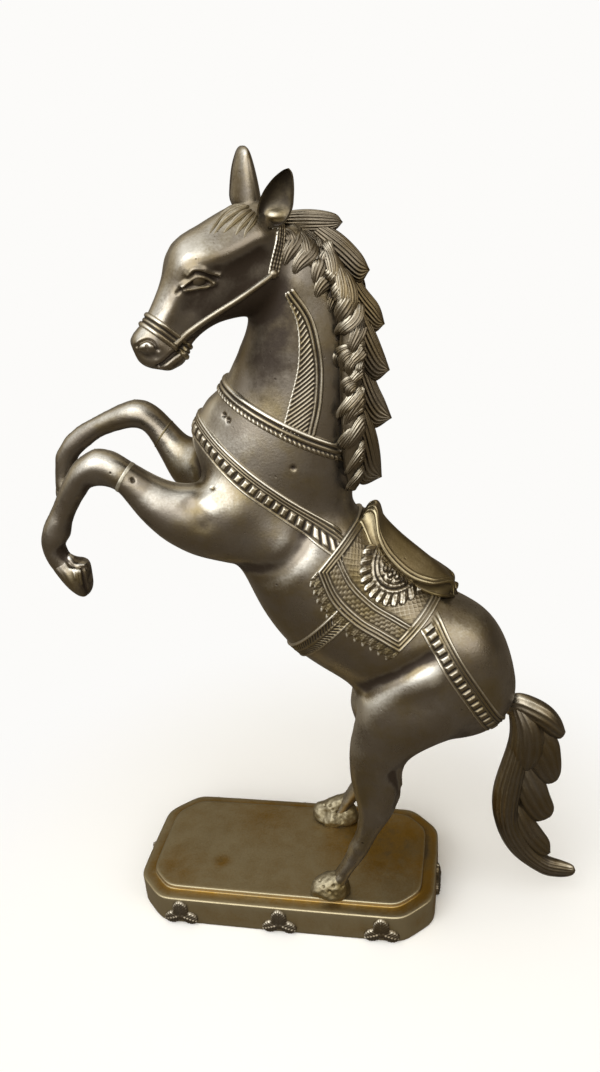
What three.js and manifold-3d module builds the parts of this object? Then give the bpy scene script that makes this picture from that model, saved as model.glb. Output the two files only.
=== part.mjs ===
// Rearing horse sculpture: brass castings brazed together on a two-tier base, with cast parade tack.
// Millimetres, +Z up. The horse faces -X, and its near (left) side is towards -Y.
import * as THREE from 'three';
import { mergeVertices } from 'three/addons/utils/BufferGeometryUtils.js';
import Module from 'manifold-3d';

const wasm = await Module();
wasm.setup();

// Driving dimensions of the base
const BASE_LENGTH = 163;
const BASE_WIDTH = 83;
const BASE_LOWER_HEIGHT = 15;
const BASE_UPPER_HEIGHT = 4.7;
const BASE_STEP = 7;
const BASE_CORNER = 15;
const BASE_WALL = 4;
const BASE_TOP_PLATE = 4;

// Driving dimensions of the leaf plaques on the base
const PLAQUE_WIDTH = 17;
const PLAQUE_HEIGHT = 13;
const PLAQUE_THICKNESS = 1.8;
const PLAQUE_INSET = 26.5;
const PLAQUE_FOOT = 1;

// Driving dimensions of the horse, from the soles to the tip of the far ear
const HORSE_HEIGHT = 369;
const DRAWN_HEIGHT = 369;
const HEAD_TURN = 36;
const CASTING_WALL = 4.5;
const MANE_THICKNESS = 8;

// Driving dimensions of the tack
const STRAP_THICKNESS = 1.8;
const BREAST_STRAP_WIDTH = 10;
const CRUPPER_WIDTH = 9.5;
const CRUPPER_LENGTH = 76;
const COLLAR_WIDTH = 7;
const GIRTH_WIDTH = 9;
const NOSEBAND_WIDTH = 6.5;
const BRIDLE_THICKNESS = 1.2;
const CHEEK_STRAP_WIDTH = 2.6;
const GARLAND_THICKNESS = 1.3;
const BLANKET_THICKNESS = 1.6;
const FLAP_THICKNESS = 1.5;
const FLAP_RADIUS = 17;
const FLAP_TOP = 12;

// Joints: the air between neighbours, and the visible ring of brazing metal
const GAP = 0.3;
const BRAZE_THICKNESS = 1.6;

// Roundness of the castings, and a span that reaches past every piece
const TRUNK_SIDES = 20;
const NECK_SIDES = 18;
const HEAD_SIDES = 16;
const LIMB_SIDES = 10;
const CURVE_STEPS = 4;
const END_STEP = 0.02;
const CORNER_GROWTH = 2;
const MERGE_DISTANCE = 1e-3;
const SPAN = 1000;

// Sections of the castings, listed along each one in the horse's own frame, where the soles are at z = 0.
// Each row holds the two edges of one section as the side view shows them (x, z and x, z),
// then where its middle lies across the horse (y) and half its breadth there.
const TRUNK = [
  [-15, 250, -22, 233, 0, 9],
  [4, 246, -22, 207, 0, 22],
  [43, 213, -11, 183, 0, 29],
  [53, 204, -3, 161, 0, 31],
  [62, 190, 9, 142, 0, 32],
  [76, 176, 22, 131, 0, 32],
  [91, 166, 40, 119, 0, 31],
  [108, 157, 57, 105, 0, 30],
  [118, 140, 77, 88, 0, 26],
  [123, 115, 99, 90, 0, 19],
  [121, 108, 112, 97, 0, 8],
];
const NECK = [
  [26, 341, 6, 312, -1, 10],
  [39, 329, 3, 298, -1, 13],
  [47, 313, -1.5, 289, 0, 15],
  [52, 294, -8, 280, 0, 17],
  [53, 272, -13.5, 268, 0, 19],
  [51, 249, -23, 257, 0, 22],
  [48, 227, -27, 247, 0, 24],
  [44, 213, -26, 231, 0, 24],
];
const NEAR_FORELEG = [
  [-3, 238, 6, 187, -14, 14],
  [-17, 232, -9, 189, -18, 15],
  [-30, 232, -28, 195, -22, 13],
  [-38, 235, -42, 205, -24, 11.5],
  [-44, 239, -50, 216, -25, 9.5],
  [-50, 243, -58, 231, -26, 7.5],
  [-58, 249, -65, 233, -26, 8],
  [-67, 251, -72, 232, -26, 8.5],
  [-77, 245, -74, 229, -26, 7.5],
  [-85, 234, -78, 224, -26, 6],
  [-92, 222, -82, 218, -26, 5.5],
  [-98, 213, -85, 212, -26, 6.5],
  [-101, 205, -86, 207, -26, 7],
  [-101, 198, -90, 202, -26, 6],
  [-99, 190, -87, 196, -26, 6.5],
  [-93, 182, -80, 193, -26, 8],
  [-86, 174, -76, 183, -26, 6],
];
const FAR_FORELEG = [
  [-20, 244, -28, 210, 14, 14],
  [-37, 239, -47, 215, 19, 11],
  [-46, 248, -53, 229, 21, 8.5],
  [-52, 254, -57, 239, 22, 7.5],
  [-58, 258, -60, 244, 22, 7.5],
  [-64, 259, -66, 245, 22, 7.5],
  [-73, 256, -75, 243, 22, 6],
  [-84, 251, -84, 240, 22, 5],
  [-95, 246, -91, 235, 22, 5],
  [-103, 240, -98, 230, 22, 5.5],
  [-110, 231, -100, 226, 22, 5],
  [-112, 221, -102, 219, 22, 5],
  [-113, 213, -102, 213, 22, 6.5],
  [-112, 206, -101, 207, 22, 7],
];
const NEAR_HIND_LEG = [
  [64, 136, 103, 127, -16, 15],
  [48, 125, 99, 103, -20, 16],
  [43, 111, 82, 94, -22, 14],
  [39, 91, 71, 87, -23, 11.5],
  [39, 77, 67, 77, -24, 9.5],
  [41, 64, 67, 62, -25, 8.5],
  [44, 53, 61, 51, -26, 8],
  [43, 43, 54, 41, -26.5, 6.5],
  [39, 30, 48, 28, -27, 5.5],
  [33, 19, 42, 17, -27.5, 6.5],
  [26, 9, 38, 7, -28, 8],
  [19, 0, 37, 0, -28.5, 9.5],
];
const TAIL = [
  [119, 113, 113, 102, 0, 5],
  [132, 110, 120, 95, 0, 8],
  [144, 98, 120, 90, 0, 9.5],
  [146, 79, 118, 78, 0, 10.5],
  [145, 63, 113, 62, 0, 11],
  [142, 48, 111, 46, 0, 11],
  [138, 36, 113, 30, 0, 10],
  [136, 24, 118, 18, 0, 8.5],
  [142, 15, 125, 7, 0, 7],
  [146, 6, 138, -2, 0, 5],
  [153, 2, 150, -3, 0, 2.5],
];

// The head is drawn in its own frame, facing -X with the poll above the origin, before it is turned.
const POLL_X = 22;
const HEAD = [
  [-4, 349, 0, 318, 0, 10],
  [-14, 350, -8, 308, 0, 13],
  [-24, 348.5, -14, 304.5, 0, 14.5],
  [-38, 342.5, -23.5, 304, 0, 15],
  [-48.5, 338, -32, 303.5, 0, 14],
  [-53, 328.5, -38.5, 301.5, 0, 12],
  [-57.5, 319.5, -43, 299, 0, 10],
  [-62, 312, -45.5, 297, 0, 9],
  [-65.5, 307.5, -48, 294.5, 0, 8.5],
  [-70.5, 303.5, -50, 289, 0, 9],
  [-72, 298.5, -56, 287, 0, 8],
  [-70, 292, -63, 287.5, 0, 4],
];
const NEAR_EAR = [
  [-14, 340, -2, 340, -10, 4],
  [-15, 347, -0.5, 347, -11, 4.5],
  [-11.5, 356, 0, 355, -12, 3.5],
  [-4, 361, -1.5, 361, -13, 1.5],
];
const FAR_EAR = [
  [-19, 343, -7, 343, 10, 4],
  [-19, 351, -6, 353, 11, 4.5],
  [-16, 361, -7.5, 361, 12, 3.5],
  [-12, 369, -10, 369, 13, 1.5],
];
const FORELOCK = [
  [-10, 352, -14, 343, 0, 6],
  [-22, 351, -22, 343, 0, 8],
  [-32, 346.5, -29, 339, 0, 6],
  [-38, 342, -35, 336, 0, 2],
];

// The twisted locks down the near side of the neck; the far side has the same, mirrored
const MANE_LOCKS = [
  [41, 333, 35, 325, -10, 3],
  [51, 318, 42, 313, -12, 4],
  [55, 300, 44, 299, -13.5, 5],
  [54, 279, 43, 279, -15, 5],
  [54, 257, 43, 257, -17, 5],
  [53, 238, 43, 238, -17, 4],
  [50, 224, 45, 224, -16, 2],
];

// The saddle from the pommel to the cantle
const SADDLE = [
  [50, 211, 44, 196, 0, 10],
  [56, 212.5, 48, 192, 0, 12],
  [59, 205.5, 50, 188, 0, 13],
  [66, 197, 57, 180, 0, 13.5],
  [76, 187, 66, 170, 0, 14],
  [86, 179.5, 77, 163, 0, 14],
  [90.5, 176, 83, 160, 0, 12],
  [91, 173, 86, 160, 0, 9],
];

// Outline of the mane's crest in the side view: its root line inside the neck, then its jagged edge
const MANE_ROOT = [[44, 227], [44, 245], [45, 270], [43, 295], [38, 312], [24, 332]];
const MANE_EDGE = [
  [30, 345], [48, 339], [44, 332], [58, 319], [51, 313], [63, 296], [56, 290],
  [64.5, 276], [57, 270], [64.5, 255], [55.5, 249], [59, 227],
];

// Places on the horse where the castings meet: a point of the side view and the way that the joint faces
const HEAD_JOINT = { x: -8, z: 325, facing: [-0.98, 0.2] };
const NEAR_ARM_JOINT = { x: -54, z: 237, facing: [-0.83, 0.555], armSections: 7 };
const FAR_ARM_JOINT = { x: -51, z: 241, facing: [-0.78, 0.626], armSections: 5 };
const GASKIN_JOINT = 76;
const ARM_MARGIN = 10;

// Lines of the tack in the side view. The neck joint lies under the collar, and the trunk joint under the girth
const COLLAR_LINE = [[-8, 271], [43, 243]];
const COLLAR_END = 40;
const BREAST_LINE = [[-19, 250], [33, 208]];
const BREAST_END = 45;
const CRUPPER_LINE = [[86, 154], [113, 103]];
const GIRTH_LINE = [[16, 143], [58, 186]];
const BLANKET_OUTLINE = [[31, 191], [66.5, 151], [89, 169], [104, 185], [66, 230], [50, 212]];
const FLAP_CENTRE = [68, 190];
const GARLAND_OUTLINE = [[24, 311], [32, 311], [36, 284], [34, 252], [18, 255], [26, 284]];
const NOSEBAND_LINE = [[-65, 309.5], [-49.5, 294.5]];
const CHEEK_LINE = [[-48, 303], [-34, 310.5], [-14, 319], [-9, 330]];

// Where the hind hooves stand, and the size of the brazed lump round each
const HOOF_BRAZE = { x: 28, y: 28.5, long: 15, broad: 12.5, high: 6 };
const FAR_HOOF_SHIFT = -6;

// A closed geometry as a solid that can be joined and cut.
function solid(geometry) {
  const bare = geometry.clone();
  bare.deleteAttribute('normal');
  bare.deleteAttribute('uv');
  const merged = mergeVertices(bare, MERGE_DISTANCE);
  return new wasm.Manifold(new wasm.Mesh({
    numProp: 3,
    vertProperties: merged.attributes.position.array,
    triVerts: Uint32Array.from(merged.index.array),
  }));
}

// A casting: an upright cylinder whose rings are laid on the sections.
// Growing it moves its side and both its ends out by the same amount.
function loftGeometry(sections, sides, ringsPerSection, grow) {
  const curve = (pick) => new THREE.CatmullRomCurve3(sections.map(pick), false, 'catmullrom');
  const firstEdge = curve(([x, z, , , y]) => new THREE.Vector3(x, y, z));
  const secondEdge = curve(([, , x, z, y]) => new THREE.Vector3(x, y, z));
  const breadth = curve(([, , , , , half]) => new THREE.Vector3(half, 0, 0));
  const [start, next] = sections.slice(0, 2);
  const along = [next[0] + next[2] - start[0] - start[2], next[1] + next[3] - start[1] - start[3]];
  const across = [start[0] - start[2], start[1] - start[3]];
  const hand = Math.sign(along[0] * across[1] - along[1] * across[0]);
  const centre = (t) => firstEdge.getPoint(t).add(secondEdge.getPoint(t)).multiplyScalar(0.5);
  const startPush = centre(0).sub(centre(END_STEP)).setLength(grow);
  const endPush = centre(1).sub(centre(1 - END_STEP)).setLength(grow);
  const rings = (sections.length - 1) * ringsPerSection;
  const geometry = new THREE.CylinderGeometry(1, 1, 1, sides, rings);
  const position = geometry.attributes.position;
  for (let i = 0; i < position.count; i += 1) {
    const t = 0.5 - position.getY(i);
    const first = firstEdge.getPoint(t);
    const reach = first.clone().sub(secondEdge.getPoint(t)).multiplyScalar(0.5);
    const middle = first.sub(reach);
    reach.setLength(reach.length() + grow);
    const half = hand * (breadth.getPoint(t).x + grow);
    middle.addScaledVector(reach, position.getZ(i));
    if (t === 0) middle.add(startPush);
    if (t === 1) middle.add(endPush);
    position.setXYZ(i, middle.x, middle.y + half * position.getX(i), middle.z);
  }
  return geometry;
}

const loft = (sections, sides, rings, grow = 0) => solid(loftGeometry(sections, sides, rings, grow));

// A geometry drawn in the head's own frame, turned about the poll into the horse's frame.
function turned(geometry) {
  geometry.rotateZ(THREE.MathUtils.degToRad(HEAD_TURN));
  geometry.translate(POLL_X, 0, 0);
  return solid(geometry);
}

// A block of space on one side of a joint.
function blockGeometry({ x, z, facing }, offset, size) {
  const direction = new THREE.Vector3(facing[0], 0, facing[1]).normalize();
  const geometry = new THREE.BoxGeometry(size, size, size);
  geometry.translate(0, 0, size / 2 + offset);
  const turn = new THREE.Quaternion().setFromUnitVectors(new THREE.Vector3(0, 0, 1), direction);
  geometry.applyQuaternion(turn);
  geometry.translate(x, 0, z);
  return geometry;
}

const block = (joint, offset, size = SPAN) => solid(blockGeometry(joint, offset, size));

const opposite = ({ x, z, facing }) => ({ x, z, facing: [-facing[0], -facing[1]] });

// The joint under the middle of a line of tack, facing up.
const jointUnder = ([[x0, z0], [x1, z1]]) => (
  { x: (x0 + x1) / 2, z: (z0 + z1) / 2, facing: [z0 - z1, x1 - x0] }
);

// The space between two parallel planes along a line of the side view.
function band([[x0, z0], [x1, z1]], width, length = SPAN) {
  const geometry = new THREE.BoxGeometry(length, SPAN, width);
  geometry.rotateY(Math.atan2(z0 - z1, x1 - x0));
  geometry.translate((x0 + x1) / 2, 0, (z0 + z1) / 2);
  return solid(geometry);
}

// A shape of the side view carried across the horse from one y to another.
function prism(shape, y0, y1) {
  const settings = { depth: y1 - y0, bevelEnabled: false, curveSegments: CURVE_STEPS };
  const geometry = new THREE.ExtrudeGeometry(shape, settings);
  geometry.rotateX(Math.PI / 2);
  geometry.translate(0, y1, 0);
  return solid(geometry);
}

const outline = (points) => new THREE.Shape(points.map(([x, z]) => new THREE.Vector2(x, z)));

// A strip of even width along a line of points.
function strip(points, width) {
  const corners = points.map(([x, z]) => new THREE.Vector2(x, z));
  const sides = corners.map((corner, i) => {
    const before = corners[Math.max(i - 1, 0)];
    const after = corners[Math.min(i + 1, corners.length - 1)];
    const along = after.clone().sub(before).normalize();
    return new THREE.Vector2(-along.y, along.x).multiplyScalar(width / 2);
  });
  const left = corners.map((corner, i) => corner.clone().add(sides[i]));
  const right = corners.map((corner, i) => corner.clone().sub(sides[i]));
  return new THREE.Shape([...left, ...right.reverse()]);
}

const mirrored = (sections) => sections.map(([x0, z0, x1, z1, y, half]) => [x0, z0, x1, z1, -y, half]);

// The far hind leg stands a little further forward than the near one.
function farHindLeg() {
  const top = NEAR_HIND_LEG[0][1];
  return mirrored(NEAR_HIND_LEG).map(([x0, z0, x1, z1, y, half]) => {
    const shift = FAR_HOOF_SHIFT * (1 - (z0 + z1) / 2 / top);
    return [x0 + shift, z0, x1 + shift, z1, y, half];
  });
}

// The forms of the horse at a given growth beyond the bare castings.
const trunk = (grow) => loft(TRUNK, TRUNK_SIDES, 2, grow);
const hollow = (wall) => loft(TRUNK.slice(1, -1), TRUNK_SIDES, 2, -wall);
const neckForm = (grow) => loft(NECK, NECK_SIDES, 2, grow);
const headForm = (grow) => loft(HEAD, HEAD_SIDES, 2, grow);
const nearFore = (grow) => loft(NEAR_FORELEG, LIMB_SIDES, 1, grow);
const farFore = (grow) => loft(FAR_FORELEG, LIMB_SIDES, 1, grow);
const nearHind = (grow) => loft(NEAR_HIND_LEG, LIMB_SIDES, 1, grow);
const farHind = (grow) => loft(farHindLeg(), LIMB_SIDES, 1, grow);

// The space round the upper arm, up to a distance from the joint where the foreleg is brazed on.
function armSpace(sections, joint, distance) {
  const arm = loft(sections.slice(0, joint.armSections), LIMB_SIDES, 1, ARM_MARGIN);
  return arm.intersect(block(opposite(joint), distance));
}

// The whole body without the head, for the tack that lies on it.
function bodyForm(grow) {
  return trunk(grow).add(neckForm(grow)).add(nearFore(grow)).add(farFore(grow))
    .add(nearHind(grow)).add(farHind(grow));
}

const BODY_BARE = bodyForm(GAP);
const BODY_STRAPPED = bodyForm(GAP + STRAP_THICKNESS);
const strapSkin = BODY_STRAPPED.subtract(BODY_BARE);
const wholeView = outline([[-SPAN, -SPAN], [SPAN, -SPAN], [SPAN, SPAN], [-SPAN, SPAN]]);
const nearSide = prism(wholeView, -SPAN, 0);
const farSide = prism(wholeView, 0, SPAN);

// The space that the blanket covers, with its corners moved out so that each edge grows by at least as much.
function blanketSpace(grow) {
  const corners = BLANKET_OUTLINE.map(([x, z]) => new THREE.Vector2(x, z));
  const centre = corners.reduce((sum, corner) => sum.add(corner), new THREE.Vector2());
  centre.divideScalar(corners.length);
  corners.forEach((corner) => {
    const away = corner.clone().sub(centre).setLength(CORNER_GROWTH * grow);
    corner.add(away);
  });
  return prism(new THREE.Shape(corners), -SPAN / 2, SPAN / 2);
}

const statue = new THREE.Group();
const horse = new THREE.Group();
const head = new THREE.Group();
statue.add(horse);
horse.add(head);

// A named piece of brass in its own colour, added to a group.
function piece(group, name, shape, color, roughness = 0.38, metalness = 1) {
  const { vertProperties, triVerts } = shape.getMesh();
  const geometry = new THREE.BufferGeometry();
  geometry.setAttribute('position', new THREE.BufferAttribute(Float32Array.from(vertProperties), 3));
  geometry.setIndex(new THREE.BufferAttribute(Uint32Array.from(triVerts), 1));
  geometry.computeVertexNormals();
  const mesh = new THREE.Mesh(geometry, new THREE.MeshStandardMaterial({ color, roughness, metalness }));
  mesh.name = name;
  group.add(mesh);
  return mesh;
}

const CASTING = '#857a63';
const DARK_CASTING = '#5d5443';
const WORN_TACK = '#9a9078';
const BASE_BRASS = '#6e5a38';
const BRAZING = '#c2bda9';
const CLAY = '#8d6a4c';

function addBase() {
  const tier = (inset, corner, height, z) => {
    const x = BASE_LENGTH / 2 - inset;
    const y = BASE_WIDTH / 2 - inset;
    const shape = outline([
      [corner - x, -y], [x - corner, -y], [x, corner - y], [x, y - corner],
      [x - corner, y], [corner - x, y], [-x, y - corner], [-x, corner - y],
    ]);
    const geometry = new THREE.ExtrudeGeometry(shape, { depth: height, bevelEnabled: false });
    geometry.translate(0, 0, z);
    return solid(geometry);
  };
  const total = BASE_LOWER_HEIGHT + BASE_UPPER_HEIGHT;
  const upperCorner = BASE_CORNER - BASE_STEP / 2;
  const hollow = tier(BASE_STEP + BASE_WALL, upperCorner, total - BASE_TOP_PLATE + 1, -1);
  const plinth = tier(0, BASE_CORNER, BASE_LOWER_HEIGHT, 0)
    .add(tier(BASE_STEP, upperCorner, total, 0))
    .subtract(hollow);
  piece(statue, 'base_plinth', plinth, BASE_BRASS, 0.5);

  // A three-lobed leaf standing on the foot of a side face
  const leaf = new THREE.Shape();
  leaf.moveTo(-PLAQUE_WIDTH / 2, 0);
  leaf.lineTo(PLAQUE_WIDTH / 2, 0);
  leaf.quadraticCurveTo(PLAQUE_WIDTH * 0.45, PLAQUE_HEIGHT * 0.45, PLAQUE_WIDTH * 0.2, PLAQUE_HEIGHT * 0.5);
  leaf.quadraticCurveTo(PLAQUE_WIDTH * 0.22, PLAQUE_HEIGHT * 0.85, 0, PLAQUE_HEIGHT);
  leaf.quadraticCurveTo(-PLAQUE_WIDTH * 0.22, PLAQUE_HEIGHT * 0.85, -PLAQUE_WIDTH * 0.2, PLAQUE_HEIGHT * 0.5);
  leaf.quadraticCurveTo(-PLAQUE_WIDTH * 0.45, PLAQUE_HEIGHT * 0.45, -PLAQUE_WIDTH / 2, 0);
  const plaque = prism(leaf, -PLAQUE_THICKNESS, 0);
  const place = (name, x, y, turn) => {
    const mesh = piece(statue, name, plaque, DARK_CASTING);
    mesh.position.set(x, y, PLAQUE_FOOT);
    mesh.rotation.z = turn;
  };
  const side = BASE_WIDTH / 2 + GAP;
  const end = BASE_LENGTH / 2 + GAP;
  const outer = BASE_LENGTH / 2 - PLAQUE_INSET;
  [['left', -outer], ['middle', 0], ['right', outer]].forEach(([spot, x]) => {
    place(`front_plaque_${spot}`, x, -side, 0);
    place(`back_plaque_${spot}`, x, side, Math.PI);
  });
  place('left_end_plaque', -end, 0, -Math.PI / 2);
  place('right_end_plaque', end, 0, Math.PI / 2);
}

function addTrunk() {
  const girthJoint = jointUnder(GIRTH_LINE);
  const before = (offset) => block(girthJoint, offset);
  const behind = (offset) => block(opposite(girthJoint), offset);
  const seam = GAP + BRAZE_THICKNESS / 2;
  const nearArm = nearFore(0).intersect(armSpace(NEAR_FORELEG, NEAR_ARM_JOINT, seam));
  const farArm = farFore(0).intersect(armSpace(FAR_FORELEG, FAR_ARM_JOINT, seam));
  const shoulders = neckForm(0).intersect(block(opposite(jointUnder(COLLAR_LINE)), GAP / 2));
  const fore = trunk(0).add(shoulders).add(nearArm).add(farArm)
    .intersect(before(GAP / 2))
    .subtract(hollow(CASTING_WALL));
  piece(horse, 'forequarters', fore, CASTING);

  const thighs = nearHind(0).add(farHind(0))
    .intersect(block({ x: 0, z: GASKIN_JOINT, facing: [0, 1] }, GAP / 2));
  const hind = trunk(0).add(thighs)
    .intersect(behind(GAP / 2))
    .subtract(hollow(CASTING_WALL));
  piece(horse, 'hindquarters', hind, CASTING);

  const core = hollow(CASTING_WALL + GAP);
  piece(horse, 'fore_core', core.intersect(before(GAP)), CLAY, 0.95, 0);
  piece(horse, 'hind_core', core.intersect(behind(GAP)), CLAY, 0.95, 0);
}

function addLegs() {
  const seam = BRAZE_THICKNESS / 2;
  [
    ['near', NEAR_FORELEG, NEAR_ARM_JOINT],
    ['far', FAR_FORELEG, FAR_ARM_JOINT],
  ].forEach(([side, sections, joint]) => {
    const leg = loft(sections, LIMB_SIDES, 1);
    const ring = leg.intersect(armSpace(sections, joint, -seam)).subtract(armSpace(sections, joint, seam));
    piece(horse, `${side}_foreleg`, leg.subtract(armSpace(sections, joint, -seam - GAP)), CASTING);
    piece(horse, `${side}_foreleg_braze`, ring, BRAZING, 0.3);
  });

  const shank = block({ x: 0, z: GASKIN_JOINT, facing: [0, -1] }, GAP / 2);
  const { x, y, long, broad, high } = HOOF_BRAZE;
  [
    ['near', nearHind, x, -y],
    ['far', farHind, x + FAR_HOOF_SHIFT, y],
  ].forEach(([side, form, hoofX, hoofY]) => {
    piece(horse, `${side}_hind_leg`, form(0).intersect(shank), CASTING);
    const lump = new THREE.SphereGeometry(1, 16, 8);
    lump.scale(long, broad, high);
    lump.translate(hoofX, hoofY, 0);
    const brazed = solid(lump)
      .intersect(block({ x: 0, z: 0, facing: [0, 1] }, 0))
      .subtract(form(GAP));
    piece(horse, `${side}_hoof_braze`, brazed, BRAZING, 0.45);
  });
}

function addNeckAndHead() {
  const headSpace = turned(loftGeometry(HEAD, HEAD_SIDES, 2, GAP))
    .intersect(turned(blockGeometry(HEAD_JOINT, -GAP, SPAN)));
  const neck = neckForm(0)
    .intersect(block(jointUnder(COLLAR_LINE), GAP / 2))
    .subtract(trunk(GAP))
    .subtract(headSpace);
  piece(horse, 'neck', neck, CASTING);

  const skull = headForm(0).intersect(block(HEAD_JOINT, 0));
  const bare = headForm(GAP);
  piece(head, 'head', skull, CASTING);
  piece(head, 'near_ear', loft(NEAR_EAR, LIMB_SIDES, 2).subtract(bare), DARK_CASTING);
  piece(head, 'far_ear', loft(FAR_EAR, LIMB_SIDES, 2).subtract(bare), CASTING);
  piece(head, 'forelock', loft(FORELOCK, LIMB_SIDES, 2).subtract(bare), DARK_CASTING);

  const skin = headForm(GAP + BRIDLE_THICKNESS).subtract(bare);
  piece(head, 'noseband', skin.intersect(band(NOSEBAND_LINE, NOSEBAND_WIDTH)), WORN_TACK);
  const cheek = skin.intersect(prism(strip(CHEEK_LINE, CHEEK_STRAP_WIDTH), -SPAN / 2, SPAN / 2));
  piece(head, 'near_cheek_strap', cheek.intersect(nearSide), WORN_TACK);
  piece(head, 'far_cheek_strap', cheek.intersect(farSide), WORN_TACK);
}

function addManeAndTail() {
  const bare = BODY_BARE.add(turned(loftGeometry(HEAD, HEAD_SIDES, 2, GAP)));
  const crestSlab = (half) => prism(outline([...MANE_ROOT, ...MANE_EDGE]), -half, half);
  piece(horse, 'mane_crest', crestSlab(MANE_THICKNESS / 2).subtract(bare), DARK_CASTING);
  const besideCrest = crestSlab(MANE_THICKNESS / 2 + GAP);
  const locks = (sections) => loft(sections, LIMB_SIDES, 2).subtract(bare).subtract(besideCrest);
  piece(horse, 'near_mane_locks', locks(MANE_LOCKS), DARK_CASTING);
  piece(horse, 'far_mane_locks', locks(mirrored(MANE_LOCKS)), DARK_CASTING);
  piece(horse, 'tail', loft(TAIL, LIMB_SIDES, 1).subtract(bare), DARK_CASTING);
}

function addTack() {
  const collar = strapSkin
    .intersect(band(COLLAR_LINE, COLLAR_WIDTH))
    .subtract(block({ x: COLLAR_END, z: 0, facing: [1, 0] }, 0));
  piece(horse, 'neck_collar', collar, WORN_TACK);

  const garland = neckForm(GAP + GARLAND_THICKNESS).subtract(BODY_BARE)
    .intersect(prism(outline(GARLAND_OUTLINE), -SPAN / 2, SPAN / 2))
    .subtract(band(COLLAR_LINE, COLLAR_WIDTH + 2 * GAP));
  piece(horse, 'near_neck_garland', garland.intersect(nearSide), WORN_TACK);
  piece(horse, 'far_neck_garland', garland.intersect(farSide), WORN_TACK);

  const aroundBlanket = blanketSpace(GAP);
  const breast = strapSkin
    .intersect(band(BREAST_LINE, BREAST_STRAP_WIDTH))
    .subtract(block({ x: BREAST_END, z: 0, facing: [1, 0] }, 0));
  piece(horse, 'breast_strap', breast.subtract(aroundBlanket), WORN_TACK);
  const crupper = strapSkin
    .intersect(band(CRUPPER_LINE, CRUPPER_WIDTH, CRUPPER_LENGTH))
    .subtract(aroundBlanket)
    .subtract(loft(TAIL, LIMB_SIDES, 1, GAP));
  piece(horse, 'near_crupper_strap', crupper.intersect(nearSide), WORN_TACK);
  piece(horse, 'far_crupper_strap', crupper.intersect(farSide), WORN_TACK);
  const girth = strapSkin.intersect(band(GIRTH_LINE, GIRTH_WIDTH)).subtract(aroundBlanket);
  piece(horse, 'girth', girth, WORN_TACK);

  const blanketTop = GAP + BLANKET_THICKNESS;
  const overBlanket = bodyForm(blanketTop);
  piece(horse, 'saddle_blanket', overBlanket.subtract(BODY_BARE).intersect(blanketSpace(0)), WORN_TACK);
  const bareBlanket = bodyForm(blanketTop + GAP);
  const seat = loft(SADDLE, NECK_SIDES, 1);
  piece(horse, 'saddle', seat.subtract(bareBlanket), CASTING);

  // The round flaps are drawn as two half circles
  const disc = new THREE.Shape();
  disc.absarc(FLAP_CENTRE[0], FLAP_CENTRE[1], FLAP_RADIUS, 0, Math.PI);
  disc.absarc(FLAP_CENTRE[0], FLAP_CENTRE[1], FLAP_RADIUS, Math.PI, 2 * Math.PI);
  const flaps = bodyForm(blanketTop + GAP + FLAP_THICKNESS).subtract(bareBlanket);
  const flapSkin = flaps.subtract(loft(SADDLE, NECK_SIDES, 1, GAP));
  piece(horse, 'near_saddle_flap', flapSkin.intersect(prism(disc, -SPAN, -FLAP_TOP)), WORN_TACK);
  piece(horse, 'far_saddle_flap', flapSkin.intersect(prism(disc, FLAP_TOP, SPAN)), WORN_TACK);
}

addBase();
addTrunk();
addLegs();
addNeckAndHead();
addManeAndTail();
addTack();

// The head is turned about the poll, and the horse stands on the base.
head.position.x = POLL_X;
head.rotation.z = THREE.MathUtils.degToRad(HEAD_TURN);
horse.scale.setScalar(HORSE_HEIGHT / DRAWN_HEIGHT);
horse.position.z = BASE_LOWER_HEIGHT + BASE_UPPER_HEIGHT + GAP;

// The origin is under the middle of the whole statue.
statue.updateMatrixWorld(true);
const box = new THREE.Box3().setFromObject(statue, true);
statue.position.set(-(box.min.x + box.max.x) / 2, -(box.min.y + box.max.y) / 2, -box.min.z);
statue.updateMatrixWorld(true);

export default statue;
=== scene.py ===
# %% [markdown]
# # A rearing horse in antique brass
# The statue is brazed up from brass castings: a horse on its hind legs, in parade tack, on a stepped
# base. The frame holds the castings as plain solids at their real size. This lesson copies them, melts
# the copies into one skin, sculpts that skin, and then lays the mane, the tail and the tack on it as
# separate pieces.

import math

import bmesh
import bpy
import numpy as np
from mathutils import Matrix, Vector, noise
from mathutils.bvhtree import BVHTree


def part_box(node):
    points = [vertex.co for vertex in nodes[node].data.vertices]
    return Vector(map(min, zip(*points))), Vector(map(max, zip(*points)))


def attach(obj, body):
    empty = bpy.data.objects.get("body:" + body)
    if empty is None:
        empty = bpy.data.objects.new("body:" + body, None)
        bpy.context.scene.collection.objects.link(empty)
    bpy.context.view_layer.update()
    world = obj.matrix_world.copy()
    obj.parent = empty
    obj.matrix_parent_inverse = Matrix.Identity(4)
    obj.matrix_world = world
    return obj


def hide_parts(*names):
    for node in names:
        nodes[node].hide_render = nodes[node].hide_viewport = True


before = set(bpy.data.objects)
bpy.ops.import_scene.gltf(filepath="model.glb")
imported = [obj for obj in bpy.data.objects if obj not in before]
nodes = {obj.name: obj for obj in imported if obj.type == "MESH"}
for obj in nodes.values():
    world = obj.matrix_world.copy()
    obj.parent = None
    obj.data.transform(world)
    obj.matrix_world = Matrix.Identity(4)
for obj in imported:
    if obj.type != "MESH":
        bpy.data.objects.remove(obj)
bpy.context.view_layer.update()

# %% [markdown]
# ## Millimetres on the workbench
# Blender works in metres from the frame's origin. A sculptor would rather measure in millimetres from the
# middle of the base, up from the horse's soles. Both places are read from the frame, so nothing here is
# fitted by eye.

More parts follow.
